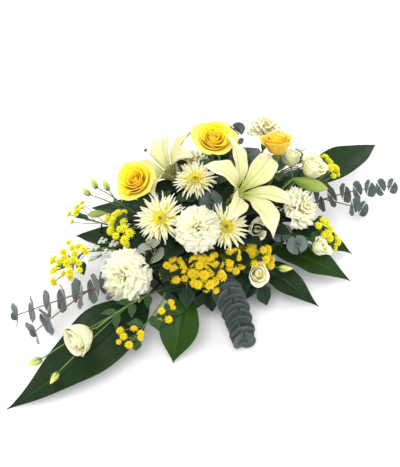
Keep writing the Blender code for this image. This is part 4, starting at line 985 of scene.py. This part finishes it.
def make_rose(name, mouth, base, facing, opening):
    rng = Random("rose " + name)
    facing = Vector(facing).normalized()
    axes = bloom_axes(base, facing, rng.uniform(0, 2 * pi))
    inner, outer = Shapes(axes), Shapes(axes)
    for whorl, (count, radius, height, length, start, end, half_angle, lip) in enumerate(ROSE_WHORLS):
        petals = outer if whorl >= len(ROSE_WHORLS) - ROSE_GUARDS else inner
        for i in range(count):
            turn = 2 * pi * i / count + GOLDEN_ANGLE * whorl + rng.uniform(-0.12, 0.12)
            lean = rng.uniform(-4, 4)
            slopes = [90 - (90 - slope) * opening + lean for slope in (start, end)]
            middle = arc(radius, height, length * rng.uniform(0.93, 1.04), *slopes)
            wrapped_petal(petals, middle, turn, radians(half_angle), ROSE_DROOP, lip, ROSE_RUFFLE, rng)
    rise = arc(0.0063, 0.0030, 0.026, 90 - 70 * opening, 90 - 28 * opening)
    cup = [rise(i / 8)[:2] for i in range(9)]
    lining = [(radius - 0.0006, height + 0.0004) for radius, height in reversed(cup)]
    outer.turned([(0, 0.0028)] + cup + lining + [(0, 0.0034)], 30)
    tint, node = ROSE_TINTS.get(name, ""), "rose_" + name
    piece("rose_petals_" + name, inner, node, "rose" + tint)
    piece("rose_guard_petals_" + name, outer, node, "rose_guard" + tint)

    green = Shapes(facing_frame(base, facing))
    green.turned(ROSE_CALYX)
    for i in range(5):
        sepal(green, 2 * pi * i / 5, 0.0040, 0.0230, 0.0030, 0.010, rng)
    green.axes = Matrix()
    path = bloom_path(mouth, base, facing)
    green.tube(path, STALKS["rose"], 10)
    piece("rose_stem_" + name, green, node + "_stem", "stem")
    leaves = Shapes()
    stem_leaves(leaves, path, STEM_LEAF_SHARES, *STEM_LEAVES["rose"], rng, teeth=9)
    piece("rose_leaves_" + name, leaves, node + "_stem", "stem_leaf")


def sepal(shapes, turn, foot, reach, half_width, droop, rng):
    """A narrow green sepal that spreads from the top of a calyx and bends down."""

    def shape(u, v):
        side = u * half_width * outline(v, 0.35, 0.04)
        return swung(turn, foot + (reach - foot) * v, side, -droop * v * v - 0.0008)

    shapes.sheet(4, 8, shape, rng.random(), LEAF_THICKNESS)


def tepal(shapes, turn, middle, wide, rng):
    """A lily tepal on its middle line: channelled on both sides of its rib, with a waved edge."""
    wave = rng.uniform(0, 2 * pi)

    def shape(u, v):
        radius, height, slope = middle(v)
        half = wide * outline(v, 0.56, 0.012, 1.15) * (1 + 0.03 * sin(19 * v + wave) * abs(u))
        half = max(half, wide * 0.30 * (1 - v) ** 3)
        lift = half * (0.42 * abs(u) ** 1.5 + 0.14 * u * sin(7 * v + wave))
        lift += half * 0.18 * u * u * v * sin(21 * v + wave + 2 * u)
        lift -= TEPAL_CHANNEL * hump(u, 0, 0.09) * (1 - v * v)
        lift -= half * 0.05 * (hump(u, -0.42, 0.12) + hump(u, 0.42, 0.12))
        return swung(turn, radius - sin(slope) * lift, u * half, height + cos(slope) * lift)

    shapes.sheet(18, 36, shape, rng.random(), TEPAL_THICKNESS)


def make_lily(name, mouth, base, facing, spin, bud):
    rng = Random("lily " + name)
    facing = Vector(facing).normalized()
    axes = bloom_axes(base, facing, radians(spin))
    tepals = Shapes(axes)
    for i in range(6):
        foot, height, wide = TEPAL_FEET[i % 2]
        middle = arc(foot, height, TEPAL_LENGTH, TEPAL_RISE, TEPAL_FALL)
        tepal(tepals, i * pi / 3, middle, wide, rng)
    tepals.turned(LILY_THROAT, 18)
    node = "lily_" + name
    piece("lily_tepals_" + name, tepals, node, "lily")

    threads = Shapes(axes)
    tip = Vector((0.004, 0, PISTIL_LENGTH))
    threads.tube(bent(((0, 0, 0.008), (-0.004, 0, 0.040), tip), 12), STALKS["pistil"], 8)
    for i in range(6):
        out = Vector((cos(i * pi / 3 + 0.5), sin(i * pi / 3 + 0.5), 0))
        path = bent((out * 0.002 + UP * 0.008, out * 0.006 + UP * 0.030, out * 0.020 + UP * 0.046), 8)
        threads.tube(path, STALKS["stamen"], 6)
    piece("lily_threads_" + name, threads, node, "pistil")
    knob = Shapes(axes @ Matrix.Translation(tip))
    knob.turned(LILY_STIGMA, 18, ribs=3, rib_depth=0.18)
    piece("lily_stigma_" + name, knob, node, STIGMA_LOOKS[name])

    path = bloom_path(mouth, base, facing)
    green, leaves, buds = Shapes(), Shapes(), Shapes()
    green.tube(path, STALKS["lily"], 10)
    green.axes = facing_frame(base, facing)
    green.turned(LILY_NECK)
    green.axes = Matrix()
    stem_leaves(leaves, path, STEM_LEAF_SHARES, *STEM_LEAVES["lily"], rng)
    fork = spot(path[1:], 0.20)[0]
    bud_base, bud_way, bud_length = bud
    tip = Vector(bud_base) + Vector(bud_way) * 0.003
    green.tube(bent((fork, (fork + tip) / 2 - UP * 0.024, tip), 10), STALKS["lily_bud"])
    buds.axes = facing_frame(bud_base, bud_way)
    buds.turned(bud_profile(bud_length, *LILY_BUD), 24, ribs=3, rib_depth=0.10)
    piece("lily_stem_" + name, green, node + "_stem", "stem")
    piece("lily_leaves_" + name, leaves, node + "_stem", "stem_leaf")
    piece("lily_bud_" + name, buds, node + "_stem", "lily_bud")


def frilled_petal(shapes, turn, radius, height, half_width, rng):
    """A carnation petal: a narrow claw and a wide ruffled blade with a toothed edge."""
    wave, folds, tone = rng.uniform(0, 2 * pi), rng.uniform(2.0, 3.2), rng.random()
    foot, bend = Vector((0.0030, 0.003)), Vector((radius * 0.42, height * 0.95 + 0.006))
    edge = Vector((radius, height))
    out = (edge - bend).normalized()
    teeth = [rng.uniform(0.965, 1.015) for _ in range(CARNATION_TEETH + 1)]
    fold = rng.uniform(-0.5, 0.5)

    def shape(u, v):
        tooth = teeth[round((u + 1) / 2 * CARNATION_TEETH)] if v > 0.95 else 1.0
        round_off = 1 - (0.14 + 0.10 * fold * u) * u * u * v
        share = v * tooth
        way = foot.lerp(bend, share).lerp(bend.lerp(edge, share), share)
        reach, rise = foot.lerp(way, round_off)
        ruffle = CARNATION_RUFFLE * v**2.2 * (sin(folds * pi * u + wave) + 0.3 * sin(2.3 * folds * pi * u))
        side = half_width * (0.14 + 0.86 * v**0.9) * (u + 0.06 * sin(folds * pi * u + wave + 1.5))
        rise += ruffle * (0.35 + 0.65 * abs(out.x))
        reach += ruffle * (0.15 + 0.85 * abs(out.y))
        return swung(turn, reach, side, rise)

    shapes.sheet(CARNATION_TEETH, 8, shape, tone)


def make_carnation(name, mouth, base, facing, size):
    rng = Random("carnation " + name)
    facing = Vector(facing).normalized()
    petals = Shapes(bloom_axes(base, facing, rng.uniform(0, 2 * pi)) @ Matrix.Scale(size, 4))
    for whorl, (count, radius, height, half_width) in enumerate(CARNATION_WHORLS):
        for i in range(count):
            turn = 2 * pi * (i + rng.uniform(-0.25, 0.25)) / count + GOLDEN_ANGLE * whorl
            reach, rise = radius * rng.uniform(0.92, 1.05), height + rng.uniform(-0.002, 0.002)
            frilled_petal(petals, turn, reach, rise, half_width, rng)
    node = "carnation_" + name
    piece("carnation_petals_" + name, petals, node, "carnation")
    green = Shapes(facing_frame(base, facing))
    green.turned(CARNATION_CALYX, 15, ribs=5, rib_depth=0.06)
    green.axes = Matrix()
    green.tube(bloom_path(mouth, base, facing), STALKS["carnation"])
    piece("carnation_stem_" + name, green, node + "_stem", "stem")


def ray(shapes, turn, foot, height, length, slope, half_width, rng, across=4, along=8):
    """A narrow grooved ray of a daisy."""
    middle = arc(foot, height, length, slope, slope - rng.uniform(5, 34))
    sway, tone = rng.uniform(-0.14, 0.14), rng.random()

    def shape(u, v):
        radius, rise, _ = middle(v)
        half = half_width * min(1, 0.5 + 0.9 * v) * (1 - 0.80 * max(0, (v - 0.5) / 0.5) ** 1.6)
        return swung(turn + sway * v * v, radius, u * half, rise + half * 0.7 * u * u)

    shapes.sheet(across, along, shape, tone, RAY_THICKNESS)


def make_mums():
    """Three spider chrysanthemums on one branching stem."""
    stem, leaves = Shapes(), Shapes()
    stem.tube(rooted(MUM_STEM), STALKS["mum"], 10)
    fork = Vector(MUM_STEM[-1])
    for name, (base, facing, reach) in MUMS.items():
        rng = Random("mum " + name)
        base, facing = Vector(base), Vector(facing).normalized()
        axes = bloom_axes(base, facing, rng.uniform(0, 2 * pi))
        rays, florets, middle = Shapes(axes), Shapes(axes), Shapes(axes)
        for whorl, (count, foot, height, share, slope) in enumerate(MUM_WHORLS):
            for i in range(count):
                turn = 2 * pi * (i + rng.uniform(-0.3, 0.3)) / count + GOLDEN_ANGLE * whorl
                length = (reach * share - foot) * rng.uniform(0.86, 1.04)
                lean = slope + rng.uniform(-7, 7)
                ray(rays, turn, foot, height, length, lean, MUM_RAY_HALF_WIDTH, rng)
        for i in range(MUM_FLORETS):
            spread = 0.0070 * (i / MUM_FLORETS) ** 0.55
            lean = 82 - 5000 * spread
            ray(florets, i * GOLDEN_ANGLE, 0.0014 + spread, 0.0066, 0.0048, lean, 0.0011, rng, 2, 3)
        middle.turned(MUM_CENTRE, 16)
        rays.turned(MUM_BED, 16)
        node = "spider_mum_" + name
        piece("mum_rays_" + name, rays, node, "mum")
        piece("mum_florets_" + name, florets, node, "mum_florets")
        piece("mum_centre_" + name, middle, node, "mum_centre")

        curve = (fork - UP * 0.004, base - facing * 0.4 * (base - fork).length, base - facing * 0.003)
        branch = bent(curve, 12)
        stem.tube(branch, STALKS["mum_branch"])
        stem.axes = facing_frame(base, facing)
        stem.turned(MUM_CUP, 14)
        stem.axes = Matrix()
        for i, share in enumerate((0.35, 0.60)):
            out = Matrix.Rotation(2.2 * i, 3, "Z") @ (curve[2] - fork - UP * 0.03)
            small_leaf(leaves, spot(branch, share)[0], out, *STEM_LEAVES["mum"], rng, teeth=7)
    piece("mum_stem", stem, "spider_mum_stem", "stem")
    piece("mum_leaves", leaves, "spider_mum_stem", "stem_leaf")


def bud_profile(length, wide, widest, least, fineness, steps, below, above):
    """Radii and heights of a pointed bud, from a pole below its foot to one above its tip."""
    profile = [(0, -below)]
    for i in range(steps + 1):
        profile.append((length * wide * outline(i / steps, widest, least, fineness), length * i / steps))
    return profile + [(0, length + above)]


def make_lisianthus(name, points, blooms, buds):
    rng = Random("lisianthus " + name)
    path = rooted(points)
    petals, hearts, closed, green, leaves = Shapes(), Shapes(), Shapes(), Shapes(), Shapes()
    green.tube(path, STALKS["lisianthus"])
    end = spot(path, 0.98)[0]
    for spin, (base, facing, size) in enumerate(blooms):
        way = Vector(facing).normalized()
        curve = (end, Vector(base) - way * 0.006, Vector(base) + way * 0.002)
        green.tube(bent(curve, 6), STALKS["lisianthus_bloom"])
        petals.axes = hearts.axes = green.axes = facing_frame(base, facing, spin)
        for whorl, (count, foot, height, length, start, slope, half_angle, lip) in enumerate(CUP_WHORLS):
            for i in range(count):
                turn = 2 * pi * i / count + GOLDEN_ANGLE * whorl
                reach = length * size * rng.uniform(0.92, 1.05)
                middle = arc(foot * size, height * size, reach, start, slope + rng.uniform(-7, 7))
                petal = (middle, turn, radians(half_angle), CUP_DROOP * size, lip * size, CUP_RUFFLE)
                wrapped_petal(petals, *petal, rng, 12, 10)
        hearts.turned(enlarged(LISIANTHUS_PISTIL, size), 12, ribs=3, rib_depth=0.12)
        green.turned(LISIANTHUS_CUP)
        calyx(green, size * 0.62, rng)
        green.axes = Matrix()
    for share, (base, direction, length) in zip(BUD_FORKS, buds):
        fork = spot(path, share)[0]
        tip = Vector(base) + Vector(direction) * 0.003
        curve = (fork, (fork + tip) / 2 + UP * 0.006, tip)
        green.tube(bent(curve, 8), STALKS["lisianthus_bud"])
        closed.axes = green.axes = facing_frame(base, direction)
        closed.turned(bud_profile(length, *LISIANTHUS_BUD), 15, rng.random(), 5, 0.10)
        calyx(green, length * 0.6, rng)
        green.axes = Matrix()
    for share in (0.45, 0.62, 0.78):
        place, ahead = spot(path, share)
        for out in (ahead.cross(UP), -ahead.cross(UP)):
            small_leaf(leaves, place, out + ahead * 0.9, *STEM_LEAVES["lisianthus"], rng)
    node = "lisianthus_" + name if name in LISIANTHUS else None
    if blooms:
        piece("lisianthus_petals_" + name, petals, node, "lisianthus")
        piece("lisianthus_pistils_" + name, hearts, node, "lisianthus_middle")
    if buds:
        piece("lisianthus_buds_" + name, closed, node, "lisianthus_bud")
    piece("lisianthus_stem_" + name, green, node, "stem")
    piece("lisianthus_leaves_" + name, leaves, node, "stem_leaf")


def calyx(shapes, length, rng):
    """Five needle-like sepals that lie against a cup or a bud."""
    middle = arc(0.0026, 0.0005, length, 52, 96)
    for i in range(5):
        turn = 2 * pi * i / 5

        def shape(u, v):
            radius, height, _ = middle(v)
            return swung(turn, radius, u * 0.0012 * (1 - 0.85 * v), height)

        shapes.sheet(2, 6, shape, rng.random(), NEEDLE_THICKNESS)


def patch_places(middle, facing, half_across, half_up, count, rng):
    """Places spread evenly over an oval patch that faces a given way, a little uneven in depth."""
    centre, facing = Vector(middle), Vector(facing).normalized()
    across = facing.cross(UP).normalized()
    up = across.cross(facing)
    for i in range(count):
        reach, turn = ((i + 0.5) / count) ** 0.5, i * GOLDEN_ANGLE
        out = across * half_across * reach * cos(turn) + up * half_up * reach * sin(turn)
        yield centre + out + facing * (rng.uniform(-0.004, 0.004) - 0.006 * reach * reach), out


def button_head(rays, centres, green, place, direction, size, rng):
    """A small domed flower: four whorls of rays round a packed centre, on a green cup."""
    rays.axes = centres.axes = green.axes = facing_frame(place, direction)
    for whorl, (count, foot, height, length, slope) in enumerate(BUTTON_WHORLS):
        for i in range(count):
            turn = 2 * pi * i / count + GOLDEN_ANGLE * whorl
            reach = length * size * rng.uniform(0.90, 1.05)
            ray(rays, turn, foot * size, height * size, reach, slope, 0.13 * size, rng, 2, 2)
    centres.turned(enlarged(BUTTON_CENTRE, size), 10, rng.random())
    green.turned([*BUTTON_FOOT, *enlarged(BUTTON_CUP, size)], 8)
    green.axes = Matrix()


def button_stalk(green, branch, share, place, facing, radius):
    """A thin stalk from a share of a branch to a head."""
    start = spot(branch, share)[0]
    green.tube(bent((start, (start + place) / 2 - facing * 0.004, place), 4), radius, 6)


def make_button_spray(name, points, patches):
    rng, fine = Random("buttons " + name), Random("fine buttons " + name)
    path, shrink = rooted(points), BUTTON_SHRINK.get(name, 1.0)
    rays, centres, green, leaves = Shapes(), Shapes(), Shapes(), Shapes()
    green.tube(path, STALKS["button"])
    for i, (middle, facing, *spread, count) in enumerate(patches + BUTTON_PATCHES_MORE.get(name, ())):
        facing = Vector(facing).normalized()
        tip = Vector(middle) - facing * 0.009
        branch = bent((spot(path, 0.98 - 0.06 * i)[0], tip - facing * 0.020, tip), 8)
        green.tube(branch, STALKS["button_branch"])
        for j, (place, out) in enumerate(patch_places(middle, facing, *spread, count, rng)):
            size = rng.uniform(*BUTTON_SIZES) * shrink
            button_stalk(green, branch, 0.97 - 0.62 * j / count, place, facing, STALKS["button_head"])
            direction = (facing + out * 14).normalized()
            button_head(rays, centres, green, place, direction, size, fine)
        more = round(count * BUTTONS_MORE.get(name, BUTTONS_MORE_USUAL))
        back = [-half for half in spread]
        for j, (place, out) in enumerate(patch_places(middle, facing, *back, more, fine)):
            place += out * 0.10 - facing * fine.uniform(0.001, 0.006)
            lean = Vector((fine.uniform(-0.3, 0.3), fine.uniform(-0.3, 0.3), 0))
            button_stalk(green, branch, 0.90 - 0.55 * j / more, place, facing, STALKS["button_low"])
            size = fine.uniform(0.6, 0.95) * BUTTON_SIZES[1] * shrink
            direction = (facing + out * 18 + lean).normalized()
            button_head(rays, centres, green, place, direction, size, fine)
        for j, share in enumerate((0.30, 0.55, 0.80)):
            place, ahead = spot(branch, share)
            out = Matrix.Rotation(GOLDEN_ANGLE * j + i, 3, ahead) @ ahead.orthogonal()
            small_leaf(leaves, place, out + ahead * 0.6, *STEM_LEAVES["button"], fine, teeth=5)
    node = "button_spray_" + name
    look = "button_gold" if name in GOLDEN_BUTTONS else "button"
    piece("button_rays_" + name, rays, node, look)
    piece("button_centres_" + name, centres, node, "button_centre")
    piece("button_stalks_" + name, green, node, "stem")
    piece("button_leaves_" + name, leaves, node, "stem_leaf")


def make_filler(name, points, patch):
    rng, fine = Random("filler " + name), Random("fine filler " + name)
    path = rooted(points)
    florets, green = Shapes(), Shapes()
    green.tube(path, STALKS["filler"])
    middle, facing, *rest = patch
    facing = Vector(facing).normalized()
    for i, (place, out) in enumerate(patch_places(middle, facing, *rest, rng)):
        start = spot(path[1:], 0.98 - 0.6 * i / rest[2])[0]
        knot = start.lerp(place, 0.6)
        green.tube(bent((start, knot, place), 4), STALKS["filler_branch"], 5)
        for j in range(FILLER_CLUSTER):
            turn = GOLDEN_ANGLE * j
            head = place + Vector((cos(turn), sin(turn), 0.4)) * 0.0065 * (j / FILLER_CLUSTER) ** 0.5
            green.tube((knot, head), STALKS["floret"], 4)
            florets.axes = facing_frame(head, facing + out * 10 + (head - place) * 40)
            for k in range(5):
                ray(florets, 2 * pi * k / 5, 0.0004, 0.0002, 0.0030, 30, 0.0009, fine, 2, 3)
    node = "filler_" + name
    piece("filler_florets_" + name, florets, node, "filler")
    piece("filler_stalks_" + name, green, node, "stem")


# Tray and foam


def rounded_box(name, length, width, height, corner, base):
    """A box standing on the level of its base, with round upright corners."""
    bm = bmesh.new()
    bmesh.ops.create_cube(bm, size=1)
    bmesh.ops.scale(bm, verts=bm.verts, vec=(length, width, height))
    uprights = [edge for edge in bm.edges if abs(edge.verts[0].co.z - edge.verts[1].co.z) > height / 2]
    bmesh.ops.bevel(bm, geom=uprights, offset=corner, segments=12, profile=0.5, affect="EDGES")
    bmesh.ops.translate(bm, verts=bm.verts, vec=(0, 0, base + height / 2))
    mesh = bpy.data.meshes.new(name)
    bm.to_mesh(mesh)
    bm.free()
    return add_object(name, mesh)


def make_tray():
    """The plastic tray: a thin shell with a lip, its edges softened."""
    length, width, height, wall, corner = TRAY_LENGTH, TRAY_WIDTH, TRAY_HEIGHT, TRAY_WALL, TRAY_CORNER
    tray = rounded_box("tray_shell", length, width, height, corner, 0)
    rim = rounded_box("tray_rim", length + 2 * TRAY_LIP, width + 2 * TRAY_LIP, TRAY_LIP_HEIGHT,
                      corner + TRAY_LIP, height - TRAY_LIP_HEIGHT)
    hollow = rounded_box("tray_hollow", length - 2 * wall, width - 2 * wall, height, corner - wall, wall)
    for helper, operation in ((rim, "UNION"), (hollow, "DIFFERENCE")):
        cut = tray.modifiers.new(operation.lower(), "BOOLEAN")
        cut.operation = operation
        cut.object = helper
        cut.solver = "EXACT"
    soft = tray.modifiers.new("soft_edges", "BEVEL")
    soft.width = SOFT_EDGE
    soft.segments = 2
    soft.limit_method = "ANGLE"
    graph = bpy.context.evaluated_depsgraph_get()
    mesh = bpy.data.meshes.new_from_object(tray.evaluated_get(graph))
    tray.modifiers.clear()
    tray.data = mesh
    for helper in (rim, hollow):
        bpy.data.objects.remove(helper)
    mesh.materials.clear()
    mesh.materials.append(LOOKS["tray"])
    fix(tray, "tray")


def dress_foam():
    """The foam's CAD solid has its holes, so it stays and gets its grain."""
    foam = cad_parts["foam_block"]
    foam.data.materials.clear()
    foam.data.materials.append(LOOKS["foam"])


# Floor, light and camera


def make_stage():
    """A plain pale floor under an even white sky."""
    mesh = bpy.data.meshes.new("floor")
    size = FLOOR_SIZE / 2
    corners = [(-size, -size, 0), (size, -size, 0), (size, size, 0), (-size, size, 0)]
    mesh.from_pydata(corners, [], [(0, 1, 2, 3)])
    paint = bpy.data.materials.new("pale floor")
    paint.use_nodes = True
    shader = paint.node_tree.nodes["Principled BSDF"]
    shader.inputs["Base Color"].default_value = FLOOR_COLOUR
    shader.inputs["Roughness"].default_value = 0.9
    mesh.materials.append(paint)
    add_object("floor", mesh)
    world = bpy.data.worlds.new("soft white")
    world.use_nodes = True
    sky = world.node_tree.nodes["Background"]
    sky.inputs["Color"].default_value = (1, 1, 1, 1)
    sky.inputs["Strength"].default_value = WORLD_LIGHT
    bpy.context.scene.world = world
    bpy.context.scene.view_settings.view_transform = "Standard"


def add_light(name, place, size, power):
    """A soft square light that looks at the middle of the spray."""
    data = bpy.data.lights.new(name, "AREA")
    data.size = size
    data.energy = power
    add_object(name, data).matrix_world = facing_frame(place, Vector(place) - CAMERA_TARGET)


def make_camera():
    azimuth, elevation = radians(CAMERA_AZIMUTH), radians(CAMERA_ELEVATION)
    back = Vector((cos(azimuth) * cos(elevation), sin(azimuth) * cos(elevation), sin(elevation)))
    data = bpy.data.cameras.new("camera")
    data.lens = CAMERA_LENS
    data.sensor_width = SENSOR
    data.clip_start, data.clip_end = 0.05, 20
    camera = add_object("camera", data)
    camera.matrix_world = facing_frame(CAMERA_TARGET + back * CAMERA_DISTANCE, back)
    bpy.context.scene.camera = camera


def make_all(make, plants):
    for name, values in plants.items():
        make(name, *values)


make_tray()
dress_foam()
make_all(make_aspidistra, ASPIDISTRA)
make_all(make_salal, SALAL)
make_all(make_eucalyptus, EUCALYPTUS)
make_undergrowth()
make_all(make_rose, ROSES)
make_all(make_lisianthus, THIN_BUDS)
make_all(make_lily, LILIES)
make_all(make_carnation, CARNATIONS)
make_mums()
make_all(make_lisianthus, LISIANTHUS)
make_all(make_button_spray, BUTTON_SPRAYS)
make_all(make_filler, FILLERS)
make_stage()
for light in LIGHTS:
    add_light(*light)
make_camera()
